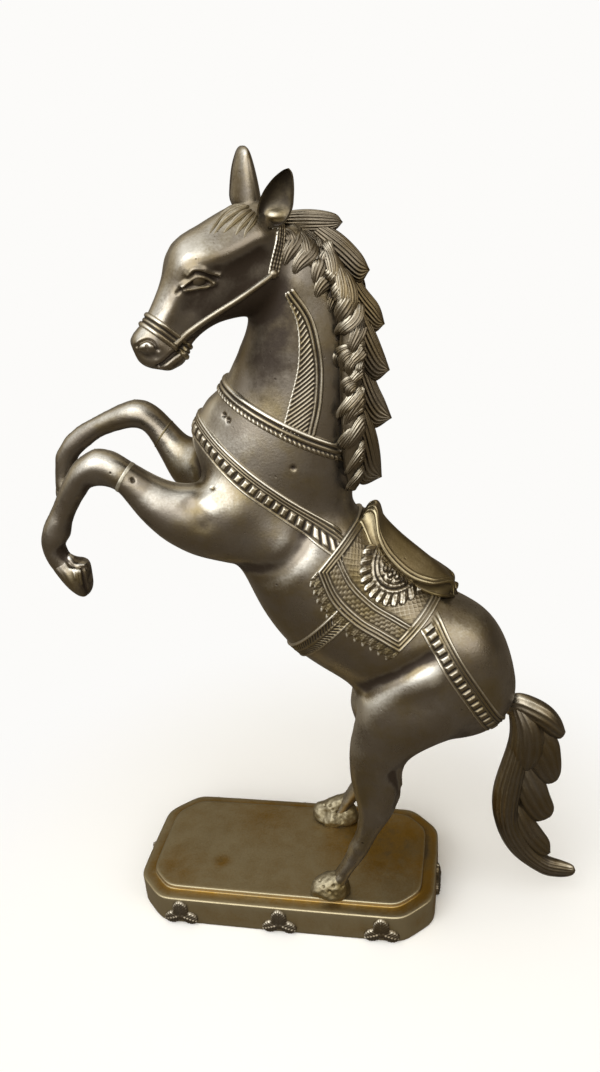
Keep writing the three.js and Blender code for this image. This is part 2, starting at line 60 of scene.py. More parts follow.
# %% Workbench coordinates
MM = 0.001
plinth_low, plinth_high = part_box("base_plinth")
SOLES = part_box("near_hind_leg")[0].z
BENCH = np.array([(plinth_low.x + plinth_high.x) / 2, (plinth_low.y + plinth_high.y) / 2, SOLES])
TABLE = -SOLES / MM


def to_frame(points):
    """Workbench millimetres as the frame's metres."""
    return np.asarray(points, float) * MM + BENCH


def to_bench(points):
    """The frame's metres as workbench millimetres."""
    return (np.asarray(points, float) - BENCH) / MM


def unit(vectors):
    """Vectors of length one, along the last axis."""
    vectors = np.asarray(vectors, float)
    return vectors / np.maximum(np.linalg.norm(vectors, axis=-1, keepdims=True), 1e-12)


def spline(points, count, even=True):
    """A smooth line through a few points: count places, evenly spaced along it or else between its points."""
    knots = np.asarray(points, float)
    padded = np.vstack([2 * knots[0] - knots[1], knots, 2 * knots[-1] - knots[-2]])
    steps = np.linspace(0, 1, 16, endpoint=False)[:, None]
    line = []
    for a, b, c, d in zip(padded, padded[1:], padded[2:], padded[3:]):
        bend = (2 * a - 5 * b + 4 * c - d) * steps**2 + (3 * b - a - 3 * c + d) * steps**3
        line.append(b + 0.5 * ((c - a) * steps + bend))
    line = np.vstack(line + [knots[-1:]])
    gone = np.arange(len(line))
    if even:
        gone = np.append(0, np.cumsum(np.linalg.norm(np.diff(line, axis=0), axis=1)))
    wanted = np.linspace(0, gone[-1], count)
    return np.stack([np.interp(wanted, gone, line[:, axis]) for axis in range(line.shape[1])], axis=1)


print("the soles stand", round(-TABLE, 2), "mm above the table")

# %% [markdown]
# ## The photograph's camera
# The camera stood a little above the head and to the tail's side of the middle, and was tipped by a few
# degrees, as a hand-held one is. It could be moved about by eye until the picture fits, but its place was
# worked out from the edges of the base, which is surer. The same numbers also turn a pixel of the
# photograph into a line of sight, which later puts chased details where the photograph shows them.

# %% Camera
IMAGE_SIZE = (600, 1072)
FOCAL_PIXELS = 920.0
SENSOR = 36.0
CAMERA_YAW, CAMERA_PITCH, CAMERA_ROLL = (math.radians(angle) for angle in (12.0, 24.3, 4.38))
CAMERA_PLACE = np.array([102.4, -393.6, 377.9])

forward = np.array([-math.sin(CAMERA_YAW) * math.cos(CAMERA_PITCH),
                    math.cos(CAMERA_YAW) * math.cos(CAMERA_PITCH), -math.sin(CAMERA_PITCH)])
level = np.array([math.cos(CAMERA_YAW), math.sin(CAMERA_YAW), 0.0])
plumb = np.cross(forward, level)
right = math.cos(CAMERA_ROLL) * level + math.sin(CAMERA_ROLL) * plumb
down = math.cos(CAMERA_ROLL) * plumb - math.sin(CAMERA_ROLL) * level

camera_data = bpy.data.cameras.new("photo_camera")
camera_data.sensor_width = SENSOR
camera_data.lens = SENSOR * FOCAL_PIXELS / max(IMAGE_SIZE)
camera = bpy.data.objects.new("photo_camera", camera_data)
bpy.context.scene.collection.objects.link(camera)
camera.matrix_world = Matrix([
    [right[i], -down[i], -forward[i], to_frame(CAMERA_PLACE)[i]] for i in range(3)
] + [[0, 0, 0, 1]])
bpy.context.scene.camera = camera


def sight(pixel):
    """The direction of the line of sight through a pixel of the photograph."""
    across = (pixel[0] - IMAGE_SIZE[0] / 2) / FOCAL_PIXELS
    below = (pixel[1] - IMAGE_SIZE[1] / 2) / FOCAL_PIXELS
    return unit(across * right + below * down + forward)


def pixels_at(pixels, y):
    """Where the lines of sight through pixels meet the plane at a distance y from the horse's middle."""
    rays = np.array([sight(pixel) for pixel in pixels])
    return CAMERA_PLACE + rays * ((y - CAMERA_PLACE[1]) / rays[:, 1])[:, None]


print("camera lens:", round(camera_data.lens, 2), "mm")

# %% [markdown]
# ## Shader sums
# A patina is a sum of many small effects. Its nodes could be wired one by one in the Shader Editor, but
# that is hard to read afterwards. Wrapping a socket in a class with the usual operators lets a material
# be written like a formula; each operator adds one Math node.


# %% A socket that can be added, multiplied and mixed
class Socket:
    """One output of a material's node tree."""

    def __init__(self, tree, output=None):
        self.tree = tree
        self.output = output

    def make(self, kind, settings=None, inputs=None, output=0):
        """A new node: its type, its settings, its sockets' values or links, and the output to give."""
        node = self.tree.nodes.new(kind)
        for name, value in (settings or {}).items():
            setattr(node, name, value)
        for name, value in (inputs or {}).items():
            if isinstance(value, Socket):
                self.tree.links.new(value.output, node.inputs[name])
            else:
                node.inputs[name].default_value = value
        return Socket(self.tree, node.outputs[output])

    def math(self, operation, *values):
        return self.make("ShaderNodeMath", {"operation": operation}, dict(enumerate(values)))

    def __add__(self, other):
        return self.math("ADD", self, other)

    def __sub__(self, other):
        return self.math("SUBTRACT", self, other)

    def __rsub__(self, other):
        return self.math("SUBTRACT", other, self)

    def __mul__(self, other):
        return self.math("MULTIPLY", self, other)

    __radd__ = __add__
    __rmul__ = __mul__

    def between(self, low, high):
        """A smooth step from 0 at low to 1 at high."""
        settings = {"interpolation_type": "SMOOTHSTEP"}
        return self.make("ShaderNodeMapRange", settings, {"Value": self, "From Min": low, "From Max": high})

    def mix(self, first, second):
        """Two colours mixed by this mask."""
        return self.make("ShaderNodeMix", {"data_type": "RGBA"}, {0: self, 6: first, 7: second}, output=2)


def linear(hex_color):
    """A colour as it looks on screen, in the linear numbers that a shader works with."""
    channels = [int(hex_color[i:i + 2], 16) / 255 for i in (1, 3, 5)]
    return [c / 12.92 if c <= 0.04045 else ((c + 0.055) / 1.055) ** 2.4 for c in channels] + [1.0]


print("a mid grey is", [round(channel, 3) for channel in linear("#808080")], "to a shader")


# %% [markdown]
# ## Antique brass
# The brass was browned all over and then rubbed, so it is dark in the hollows, pale on the ridges, and
# blotched with gold, olive and grey in between. A painted texture could show this, but every piece would
# have to be unwrapped first. So each piece carries an attribute, relief, that is negative in its hollows
# and positive on its ridges, and noise on Object coordinates breaks the edges of that mask up. A second
# attribute says how far each face turns towards the lamps above: it paints light into the colour of faces
# that turn up, and shade into the colour of faces that turn down.

# %% Materials
PIT_DIRT = "#2a2118"


def antique_brass(name, worn_and_lit_color, body, tint, hollow, rough=(0.3, 0.5), pitted=0.35, soot=0.1, shaded=0.4):
    material = bpy.data.materials.new(name)
    material.use_nodes = True
    tree = material.node_tree
    shader = tree.nodes["Principled BSDF"]
    start = Socket(tree)
    place = start.make("ShaderNodeTexCoord", output="Object")
    relief = start.make("ShaderNodeAttribute", {"attribute_name": "relief"}, output="Fac")
    painted_light_facing = start.make("ShaderNodeAttribute", {"attribute_name": "painted_light_facing"}, output="Fac")

    def mottle(scale, detail, roughness=0.55):
        inputs = {"Vector": place, "Scale": scale, "Detail": detail, "Roughness": roughness}
        return start.make("ShaderNodeTexNoise", None, inputs)

    clouds = mottle(38.0, 4.0)
    stains = mottle(95.0, 6.0, 0.65)
    grain = mottle(900.0, 3.0)
    cells = start.make("ShaderNodeTexVoronoi", None, {"Vector": place, "Scale": 330.0})
    blow_holes = start.make("ShaderNodeTexVoronoi", None, {"Vector": place, "Scale": 150.0})
    pits = (1 - cells.between(0.02, 0.16)) * mottle(60.0, 2.0).between(0.56, 0.72)
    pits = pits + (1 - blow_holes.between(0.05, 0.13)) * mottle(75.0, 2.0).between(0.60, 0.66)

    # Painted light and shade: faces that turn up towards the lamps are painted towards the pale colour, and
    # faces that turn down towards the hollow colour. The relief in these masks is the patina in hollows and
    # the wear on ridges.
    patina_and_shade = (relief * -1.0 - painted_light_facing * shaded + (stains - 0.5) * 1.2 + soot).between(0.0, 0.8)
    worn_and_lit = (relief + (painted_light_facing - 0.25) * 1.1 + (grain - 0.5) * 0.35 + (stains - 0.5) * 0.5).between(0.1, 0.85)
    tinted = (clouds + (stains - 0.5) * 0.5).between(0.40, 0.68)
    color = tinted.mix(linear(body), linear(tint))
    color = worn_and_lit.mix(color, linear(worn_and_lit_color))
    color = patina_and_shade.mix(color, linear(hollow))
    color = (pits * pitted).mix(color, linear(PIT_DIRT))
    tree.links.new(color.output, shader.inputs["Base Color"])

    roughness = rough[0] + patina_and_shade * (rough[1] - rough[0]) + (stains - 0.5) * 0.16 + (grain - 0.5) * 0.10
    tree.links.new(roughness.output, shader.inputs["Roughness"])
    tree.links.new((1 - patina_and_shade * 0.45).output, shader.inputs["Metallic"])
    surface = grain * 0.35 + stains * 0.5 - pits * (2.2 * pitted)
    bump = start.make("ShaderNodeBump", None, {"Strength": 0.22, "Distance": 0.0008, "Height": surface})
    tree.links.new(bump.output, shader.inputs["Normal"])
    return material


BRASS_LOOKS = {
    "casting_brass": (("#d3cfc4", "#7f776b", "#796d53", "#342a20"), dict(pitted=0.7, shaded=0.8)),
    "dark_brass": (("#b6ae9c", "#6d6455", "#675a41", "#271f17"), dict(soot=0.15)),
    "hair_brass": (("#c6bfae", "#7b725f", "#766849", "#2d251b"), dict(soot=0.05)),
    "tack_brass": (("#cdc7b8", "#817764", "#7a6d4e", "#2b2319"), dict(pitted=0.3)),
    "saddle_brass": (("#bfb494", "#7d7054", "#716444", "#352919"), dict(rough=(0.34, 0.5))),
    "base_brass": (("#a89c7e", "#947330", "#896e38", "#3a3124"), dict(rough=(0.42, 0.6))),
    "brazing": (("#9d947c", "#71674f", "#6a5c3c", "#3a2f20"), dict(rough=(0.48, 0.66), pitted=1.0)),
    "solder": (("#d9d5c9", "#bdb8a8", "#a9a28f", "#5d5443"), dict(rough=(0.45, 0.65), soot=-0.2)),
}
BRASS = {name: antique_brass(name, *colors, **look) for name, (colors, look) in BRASS_LOOKS.items()}
print("materials:", ", ".join(BRASS))


# %% [markdown]
# ## Finishing a piece
# Every piece ends in the same way. Its relief is measured: a vertex that stands proud of its smoothed
# neighbours is a ridge, one that lies behind them is a hollow. Wear could be painted on by hand instead,
# but would be lost with every change of shape. Then the piece gets its brass, rides on the one rigid body
# of the statue, and hides the castings of the frame that it stands for.

# %% Smoothing, relief and finishing
def links_of(mesh):
    """The pairs of neighbouring vertices, and how many neighbours each vertex has."""
    pairs = np.empty(len(mesh.edges) * 2, int)
    mesh.edges.foreach_get("vertices", pairs)
    pairs = pairs.reshape(-1, 2)
    return pairs, np.maximum(np.bincount(pairs.ravel(), minlength=len(mesh.vertices)), 1)


def averaged(values, pairs, counts):
    """Each vertex's values, averaged over its neighbours."""
    columns = values.reshape(len(counts), -1).T
    sums = [np.bincount(pairs[:, 0], column[pairs[:, 1]], len(counts))
            + np.bincount(pairs[:, 1], column[pairs[:, 0]], len(counts)) for column in columns]
    return (np.stack(sums, axis=1) / counts[:, None]).reshape(values.shape)


def places_of(mesh):
    places = np.empty(len(mesh.vertices) * 3)
    mesh.vertices.foreach_get("co", places)
    return places.reshape(-1, 3)


def normals_of(mesh):
    normals = np.empty(len(mesh.vertices) * 3)
    mesh.vertices.foreach_get("normal", normals)
    return normals.reshape(-1, 3)


def move_to(mesh, places):
    """Moves the vertices of a mesh to places on the workbench."""
    mesh.vertices.foreach_set("co", to_frame(places).ravel())
    mesh.update()


def soften(mesh, rounds, keep_volume=True, share=1.0):
    """Smooths a mesh; every second step swells it again, so that it does not shrink."""
    pairs, counts = links_of(mesh)
    places = places_of(mesh)
    for _ in range(rounds):
        places += 0.5 * share * (averaged(places, pairs, counts) - places)
        if keep_volume:
            places -= 0.52 * share * (averaged(places, pairs, counts) - places)
    mesh.vertices.foreach_set("co", places.ravel())
    mesh.update()


EVEN_ROUNDS = 120
# The direction of the painted light: faces that turn this way, up and to the left, are painted paler, and
# faces that turn away from it darker.
PAINTED_LIGHT_FROM = unit([-0.45, -0.15, 0.88])


def measure_relief(mesh, depth=0.25, rounds=(6, 24)):
    """Writes the relief attribute: -1 deep in a hollow, 1 on a ridge; depth is in millimetres."""
    pairs, counts = links_of(mesh)
    places, normals = places_of(mesh), normals_of(mesh)
    smooth = places.copy()
    relief = np.zeros(len(places))
    for step in range(max(rounds)):
        smooth = averaged(smooth, pairs, counts)
        if step + 1 in rounds:
            proud = np.einsum("ij,ij->i", places - smooth, normals) / MM
            relief += np.clip(proud / depth / math.sqrt(step + 1) * 2, -1, 1)
    even = relief
    for _ in range(EVEN_ROUNDS):
        even = averaged(even, pairs, counts)
    relief = np.clip((relief - even) / len(rounds) * 1.3, -1, 1)
    # How far each face turns towards the painted light: it paints light on top sides and shade on undersides.
    painted_light_facing = normals @ PAINTED_LIGHT_FROM
    for _ in range(rounds[0]):
        painted_light_facing = averaged(painted_light_facing, pairs, counts)
    for name, values in (("relief", relief), ("painted_light_facing", painted_light_facing)):
        layer = mesh.attributes.get(name) or mesh.attributes.new(name, "FLOAT", "POINT")
        layer.data.foreach_set("value", values.astype(np.float32))


def deepen(mesh, amounts):
    """Lowers the relief attribute by an amount for each vertex, which darkens its colour; a negative amount
    lightens it.
    """
    layer = mesh.attributes["relief"].data
    relief = np.empty(len(mesh.vertices))
    layer.foreach_get("value", relief)
    layer.foreach_set("value", (relief - amounts).astype(np.float32))


def darken(mesh, direction, amount):
    """Paints shade on the faces that look in one direction, as inside the hollow of an ear; a negative amount
    paints light on them.
    """
    deepen(mesh, amount * np.clip(normals_of(mesh) @ np.asarray(direction, float), 0, 1))


def stain_and_shade(mesh, line, radius, amount):
    """Darkens the colour beside a line of places, for painted shadow and for stains."""
    gaps = np.linalg.norm(to_bench(places_of(mesh))[:, None] - line[None], axis=2).min(axis=1)
    deepen(mesh, amount * np.exp(-(gaps / radius) ** 2))


def finish(piece, brass, *replaced, depth=0.25, rounds=(6, 24)):
    """Smooth shading, relief, brass, body and frame nodes for one piece."""
    mesh = piece.data
    mesh.shade_smooth()
    measure_relief(mesh, depth, rounds)
    mesh.materials.clear()
    mesh.materials.append(BRASS[brass])
    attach(piece, "root")
    if replaced:
        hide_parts(*replaced)
    print(f"{piece.name}: {len(mesh.polygons)} faces in {brass}")
    return piece


def as_object(name, bm):
    """A bmesh as an object at the origin."""
    mesh = bpy.data.meshes.new(name)
    bm.to_mesh(mesh)
    bm.free()
    piece = bpy.data.objects.new(name, mesh)
    bpy.context.scene.collection.objects.link(piece)
    return piece


print("relief is evened out by", EVEN_ROUNDS, "rounds of smoothing")

# %% [markdown]
# ## One skin over the castings
# The horse's castings meet in seams that were filed flush, so the eye sees one skin. Copies of the solids
# are swollen by a hair so that they overlap, and a voxel remesh melts them into one surface, as a wax
# model is melted together from pieces. Modelling the skin by hand from a box would take far longer to
# bring to the same size.

# %% Melt copies of the castings
SKIN_NODES = ["forequarters", "hindquarters", "fore_core", "hind_core", "neck", "head", "near_foreleg",
              "far_foreleg", "near_hind_leg", "far_hind_leg"]
FILLED_NODES = ["near_foreleg_braze", "far_foreleg_braze"]
SKIN_SWELL = 0.4
SKIN_VOXEL = 1.55
SKIN_ROUNDS = 20
BODY_ROUNDS = 92
THICKNESS_ROUNDS = 25
THIN, THICK, THICKEST = 12.0, 38.0, 60.0
LEAST_SHARE, HEAD_SHARE = 0.06, 0.3
HEAD_LEVEL = 288.0
PASTERN_TOP, PASTERN_FADE, PASTERN_SLIM = 28.0, 18.0, 0.3


def swollen_copies(names, swell):
    """Copies of frame nodes in one bmesh, each swollen along its normals."""
    together = bmesh.new()
    for name in names:
        copy = bmesh.new()
        copy.from_mesh(nodes[name].data)
        bmesh.ops.remove_doubles(copy, verts=copy.verts, dist=1e-6)
        copy.normal_update()
        for vert in copy.verts:
            vert.co += vert.normal * swell * MM
        stage = bpy.data.meshes.new("copy")
        copy.to_mesh(stage)
        copy.free()
        together.from_mesh(stage)
        bpy.data.meshes.remove(stage)
    return together


def melted(name, bm, voxel):
    """The union of the closed shells in a bmesh, as a new object of even quads."""
    rough = as_object(name + "_rough", bm)
    remesh = rough.modifiers.new("voxels", "REMESH")
    remesh.mode = "VOXEL"
    remesh.voxel_size = voxel * MM
    mesh = bpy.data.meshes.new_from_object(rough.evaluated_get(bpy.context.evaluated_depsgraph_get()))
    bpy.data.objects.remove(rough)
    mesh.name = name
    piece = bpy.data.objects.new(name, mesh)
    bpy.context.scene.collection.objects.link(piece)
    return piece


def thickness_of(mesh):
    """How thick the metal is behind each vertex, in millimetres."""
    tree = BVHTree.FromPolygons(places_of(mesh).tolist(), [face.vertices[:] for face in mesh.polygons])
    thickness = []
    for place, normal in zip(places_of(mesh), normals_of(mesh)):
        distance = tree.ray_cast(Vector(place - normal * 0.2 * MM), Vector(-normal))[3]
        thickness.append((distance or 0.0) / MM)
    return np.array(thickness)


skin = melted("horse_skin", swollen_copies(SKIN_NODES + FILLED_NODES, SKIN_SWELL), SKIN_VOXEL)
soften(skin.data, SKIN_ROUNDS)
pairs, counts = links_of(skin.data)
thickness = np.clip(thickness_of(skin.data), 0, THICKEST)
for _ in range(THICKNESS_ROUNDS):
    thickness = averaged(thickness, pairs, counts)
body_share = np.clip((thickness - THIN) / (THICK - THIN), LEAST_SHARE, 1.0)
body_share *= np.where(to_bench(places_of(skin.data))[:, 2] > HEAD_LEVEL, HEAD_SHARE, 1.0)
soften(skin.data, BODY_ROUNDS, keep_volume=False, share=body_share[:, None])
print("metal behind the skin:", round(thickness.min(), 1), "to", round(thickness.max(), 1), "mm")

# %% Slim the pasterns
places = to_bench(places_of(skin.data))
for side in (-1, 1):
    leg = (places[:, 2] < PASTERN_TOP) & (places[:, 1] * side > 0)
    level = np.round(places[leg, 2] / SKIN_VOXEL)
    for height in np.unique(level):
        ring = np.flatnonzero(leg)[level == height]
        share = np.clip((PASTERN_TOP - places[ring, 2]) / PASTERN_FADE, 0, 1)[:, None]
        slim = 1 - PASTERN_SLIM * share ** 2 * (3 - 2 * share)
        middle = places[ring, :2].mean(axis=0)
        places[ring, :2] = middle + (places[ring, :2] - middle) * slim
move_to(skin.data, places)
soften(skin.data, 2)
print("skin:", len(skin.data.polygons), "faces")

# %% [markdown]
# ## Sheets in relief and rolled shells
# Tack, plaques and hair all start as a flat grid. A sheet takes its places from the surface that it lies
# on, rises by a height for each of its points, and is extruded down into that surface so that it is
# closed. A Displace modifier with a picture could raise it too, but heights from a formula stay sharp. A
# rolled shell joins the grid's first and last column, and each end draws together in a point, as a lock
# of hair does.

# %% Grids into closed shells
def smoothed(grid, rounds):
    """A grid of vectors, averaged with its neighbours."""
    for _ in range(rounds):
        wide = np.pad(grid, ((1, 1), (1, 1), (0, 0)), mode="edge")
        grid = (wide[:-2, 1:-1] + wide[2:, 1:-1] + wide[1:-1, :-2] + wide[1:-1, 2:] + 4 * grid) / 8
    return grid


def grid_mesh(places):
    """A bmesh grid with its points at the given places; coinciding points are merged."""
    rows, columns = places.shape[:2]
    bm = bmesh.new()
    bmesh.ops.create_grid(bm, x_segments=columns - 1, y_segments=rows - 1, size=0.5)
    order = bm.verts.layers.int.new("order")
    for index, (vert, place) in enumerate(zip(bm.verts, to_frame(places.reshape(-1, 3)))):
        vert[order], vert.co = index, place
    bmesh.ops.remove_doubles(bm, verts=bm.verts, dist=1e-7)
    return bm, order


def sheet(places, heights, centre, wall=1.2, closed=False):
    """A sheet on a grid of places, raised by heights away from a centre and sunk by a wall."""
    normals = unit(np.cross(np.gradient(places, axis=0), np.gradient(places, axis=1)))
    if np.einsum("ijk,ijk->", normals, places - np.asarray(centre, float)) < 0:
        normals = -normals
    normals = unit(smoothed(normals, 6))
    top = places + normals * heights[..., None]
    bottom = places - normals * wall
    if closed:
        top[:, -1], bottom[:, -1] = top[:, 0], bottom[:, 0]
    bm, order = grid_mesh(top)
    lower = bmesh.ops.extrude_face_region(bm, geom=bm.faces[:], use_keep_orig=True)["geom"]
    under = to_frame(bottom.reshape(-1, 3))
    for part in lower:
        if isinstance(part, bmesh.types.BMVert):
            part.co = under[part[order]]
    bmesh.ops.recalc_face_normals(bm, faces=bm.faces)
    return bm


def rolled(places):
    """A closed shell: the grid's last column meets its first, and its end rows are single points."""
    places = places.copy()
    places[:, -1] = places[:, 0]
    places[0], places[-1] = places[0].mean(axis=0), places[-1].mean(axis=0)
    bm = grid_mesh(places)[0]
    bmesh.ops.recalc_face_normals(bm, faces=bm.faces)
    return bm


def join(mesh, shells):
    """Adds closed shells to a mesh."""
    together = bmesh.new()
    together.from_mesh(mesh)
    for shell in shells:
        stage = bpy.data.meshes.new("shell")
        shell.to_mesh(stage)
        shell.free()
        together.from_mesh(stage)
        bpy.data.meshes.remove(stage)
    together.to_mesh(mesh)
    together.free()


def gathered(name, shells):
    """Closed shells as one object."""
    piece = as_object(name, bmesh.new())
    join(piece.data, shells)
    return piece


print("tools ready: sheets, rolled shells and joins")


# %% [markdown]
# ## Flames
# A flame is a shell rolled between an outer and an inner edge that meet at its tip. It could be sculpted
# from a ball, but two edges can be drawn straight from the photograph, so the outline is right from the
# start. Strands are cut along it. The crest of the mane, the tail and the fore hooves are flames.

# %% Flames
STRAND_CUT = 0.16


def flame(outer, inner, thick, facing, lines=12, rows=44, cut=STRAND_CUT):
    """A flame between two lines of places: its thickness, the way its flat side faces, and its strands."""
    edges = [spline(edge, rows) for edge in (outer, inner)]
    steps = np.linspace(0, 1, rows)
    angles = np.linspace(0, 2 * math.pi, lines * 10 + 1)
    share = (1 - np.cos(angles)) / 2
    swell = (1 - 0.85 * (1 - steps) ** 3) * np.sqrt(np.clip(1 - steps ** 4, 0, 1)) * (1 - 0.3 * steps)
    rise = np.sin(angles) * (1 + 2 * cut / thick * np.cos(lines * angles))
    flat = edges[0][:, None] * (1 - share)[None, :, None] + edges[1][:, None] * share[None, :, None]
    return rolled(flat + np.asarray(facing) * (thick / 2 * swell[:, None] * rise[None])[..., None])


print("strands are cut", STRAND_CUT, "mm deep")


# %% [markdown]
# ## Patterns for chased metal
# The tack's patterns repeat every few millimetres. A picture of heights could hold them, but would blur
# close by. So each pattern is a formula that gives a height in millimetres for a distance along a strap
# and a distance across it. Beads are half round, studs are square with a bevelled edge, rope and
# herringbone are slanting waves.

# %% Patterns
def bead(distance, half):
    """The half-round section of a rib, from 0 to 1."""
    return np.sqrt(np.clip(1 - (distance / half) ** 2, 0, 1))


def stud(along, across, half, bevel):
    """A square stud with a bevelled edge, from 0 to 1."""
    return np.clip((half - np.maximum(np.abs(along), np.abs(across))) / bevel, 0, 1)


def repeat(along, pitch):
    """The distance from the middle of the repeat that a place lies in."""
    return (along + pitch / 2) % pitch - pitch / 2


def walked(places, axis):
    """How far each point of a grid lies along one of its directions, in millimetres."""
    steps = np.linalg.norm(np.diff(places, axis=axis), axis=-1)
    start = np.zeros_like(np.take(steps, [0], axis=axis))
    return np.concatenate([start, np.cumsum(steps, axis=axis)], axis=axis)


print("half way to its edge, a bead keeps", round(float(bead(0.5, 1.0)), 2), "of its height")

# %% Straps
STRAP_STEP = 0.36
RAY_REACH = 60.0
ASIDE = np.array([0, 1.0, 0])


def fan(lift, angles, aside=ASIDE):
    """Rays that turn from one direction towards another, by each of the angles."""
    return [math.cos(angle) * lift + math.sin(angle) * aside for angle in angles]


def strap_round(surface, line, angles, width, reach=80.0):
    """Places of a strap in the plane of a side-view line, by rays out of that plane's middle."""
    ends = np.array([(x, 0.0, z) for x, z in line])
    lift = unit(ends[1] - ends[0])
    middle = ends.mean(axis=0)
    shifts = np.linspace(-width / 2, width / 2, round(width / STRAP_STEP) + 1)
    starts = [middle + np.cross(lift, ASIDE) * shift for shift in shifts]
    rays = fan(lift, angles)
    return np.array([[surface.hit(start, ray, reach) for ray in rays] for start in starts]), middle


def strap_beside(surface, points, side, width, count, head=False):
    """Places of a strap along side-view points, by rays from one side of the body or of the head."""
    line = spline(points, count)
    ahead = unit(np.gradient(line, axis=0))
    across = np.stack([-ahead[:, 1], ahead[:, 0]], axis=1)
    rows = []
    for shift in np.linspace(-width / 2, width / 2, round(width / STRAP_STEP) + 1):
        flat = line + across * shift
        starts = np.stack([flat[:, 0], np.full(count, RAY_REACH * side), flat[:, 1]], axis=1)
        ray = -side * ASIDE
        if head:
            starts, ray = from_head(starts), TURN @ ray
        rows.append([surface.hit(start, ray, RAY_REACH) for start in starts])
    return np.array(rows)


def strap_measures(places, width):
    """For each point of a strap: millimetres along it, and across it from its middle."""
    along = walked(places, 1).mean(axis=0)
    across = np.linspace(-width / 2, width / 2, len(places))
    return np.broadcast_to(along, places.shape[:2]), np.broadcast_to(across[:, None], places.shape[:2])


def tucked(heights, along, length=5.0):
    """Heights that sink away at both ends of a strap, where it slips under another piece."""
    share = np.clip(np.minimum(along, along.max() - along) / length, 0, 1)
    return heights * share - 0.4 * (1 - share)


print("straps are divided every", STRAP_STEP, "mm")

# %% [markdown]
# ## Finding the surface
# A detail is drawn either as pixels of the photograph or as points of the horse's side view. A Shrinkwrap
# modifier could lay it on the skin, but not along a line of sight. So a line is followed until it meets
# the skin, and the detail sits on the metal wherever it is looked at from.


# %% Lines that meet a surface
OUTSIDE = 200.0
FAR_SIDE = 12.0


class Surface:
    """A mesh that pieces are laid on, in workbench millimetres."""

    def __init__(self, *meshes):
        places, faces = [], []
        for mesh in meshes:
            faces += [[index + len(places) for index in face.vertices] for face in mesh.polygons]
            places += to_bench(places_of(mesh)).tolist()
        self.tree = BVHTree.FromPolygons(places, faces)

    def hit(self, start, direction, reach=1000.0):
        """Where a line from outside first meets the surface, or else the place nearest to its end."""
        place = self.tree.ray_cast(Vector(start), Vector(direction), reach)[0]
        if place is None:
            place = self.tree.find_nearest(Vector(start) + Vector(direction) * min(reach, OUTSIDE))[0]
        return np.array(place)

    def seen(self, pixels, count):
        """The places that the photograph shows along a line of pixels; past the outline, the nearest ones."""
        places = []
        for pixel in spline(pixels, count):
            ray = sight(pixel)
            place = self.tree.ray_cast(Vector(CAMERA_PLACE), Vector(ray))[0]
            if place is None or place.y > FAR_SIDE:
                middle = CAMERA_PLACE - ray * CAMERA_PLACE[1] / ray[1]
                place = self.tree.find_nearest(Vector(middle))[0]
            places.append(place)
        return np.array(places)

    def beside(self, points, side):
        """The places on one side of the horse behind points (x, z) of the side view."""
        return np.array([self.hit((x, OUTSIDE * side, z), (0, -side, 0)) for x, z in points])


NEAR, FAR = -1, 1
skin_surface = Surface(skin.data)
print("a surface to lay pieces on:", len(skin.data.polygons), "faces")

# %% [markdown]
# ## The turned head
# The head looks to its left, so what is alike on both its sides is mirrored in the head's own frame. A
# Mirror modifier could do that for a whole half, but here the two sides share only some of their lines.

# %% Mirrors
HEAD_TURN = math.radians(36.0)
POLL = np.array([22.0, 0.0, 0.0])
HEAD_COS, HEAD_SIN = math.cos(HEAD_TURN), math.sin(HEAD_TURN)
TURN = np.array([[HEAD_COS, -HEAD_SIN, 0], [HEAD_SIN, HEAD_COS, 0], [0, 0, 1]])


def from_head(points):
    """Places in the head's own frame, where it faces -X, on the workbench."""
    return np.asarray(points, float) @ TURN.T + POLL


def to_head(points):
    """Places on the workbench in the head's own frame."""
    return (np.asarray(points, float) - POLL) @ TURN


def across_head(points):
    """The same places on the other side of the head."""
    return from_head(to_head(points) * (1, -1, 1))


def across_body(points):
    """The same places on the other side of the body."""
    return np.asarray(points, float) * (1, -1, 1)


print("the head is turned by", round(math.degrees(HEAD_TURN)), "degrees")


# %% [markdown]
# ## Sculpting strokes
# A stroke pushes the skin in or out along a line, like a modelling tool: a wide one makes a muscle, a
# fine one an eyelid. Sculpting brushes could do the same by hand, but a stroke that is written down can
# be moved and repeated. The skin of the head is divided first, and once more beside its finest lines. The
# lines are read from the photograph on the near side, and mirrored where the far side, which it does not
# show, must have the same form.

# %% Lines of the head and body
EYE = (199, 281.5)
EYE_SOCKET = [(190, 284), (199, 281.5), (208, 281.5)]
BROW = [(190, 268), (208, 261), (232, 252), (258, 239)]
BROW_UNDER = [(222, 271), (240, 264), (258, 255)]
CHEEK_PLANE = [(200, 300), (222, 287), (246, 272), (263, 260)]
FACE_RIDGE = [(184, 284), (176, 299), (167, 316), (160, 328)]
FACE_SIDE = [(200, 300), (189, 312), (181, 326)]
LID_FOLD = [(188, 275), (193, 269.5), (202, 269), (210, 272), (219, 274.5)]
FOLD_CREASE = [(196, 271.5), (206, 273.5), (217, 278)]
UPPER_LID = [(182, 286), (188, 280.5), (197, 275.5), (207, 277.5), (213.5, 283)]
LOWER_LID = [(184, 289.5), (189, 289.5), (199, 287.5), (207, 286.5), (213.5, 283)]
TEAR_LINE = [(183, 288), (177, 293)]
NOSTRIL_CREASE = [(136, 347), (140, 342.5), (147, 340), (154, 343.5), (157.5, 350)]
NOSTRIL = [(138, 355), (146, 358), (154, 357)]
NOSTRIL_WING = [(141, 347.5), (147, 347), (152, 348.5)]
NOSTRIL_SPLIT = [(146.5, 345), (147, 350)]
MOUTH = [(183, 347), (174, 354), (166, 361), (158, 367)]
CHIN = [(181, 355), (176, 360), (170, 365)]
CHIN_FOLD = [(180, 348), (187, 344), (193, 339)]
JAW_HOLLOW = [(206, 312), (228, 298), (250, 285)]
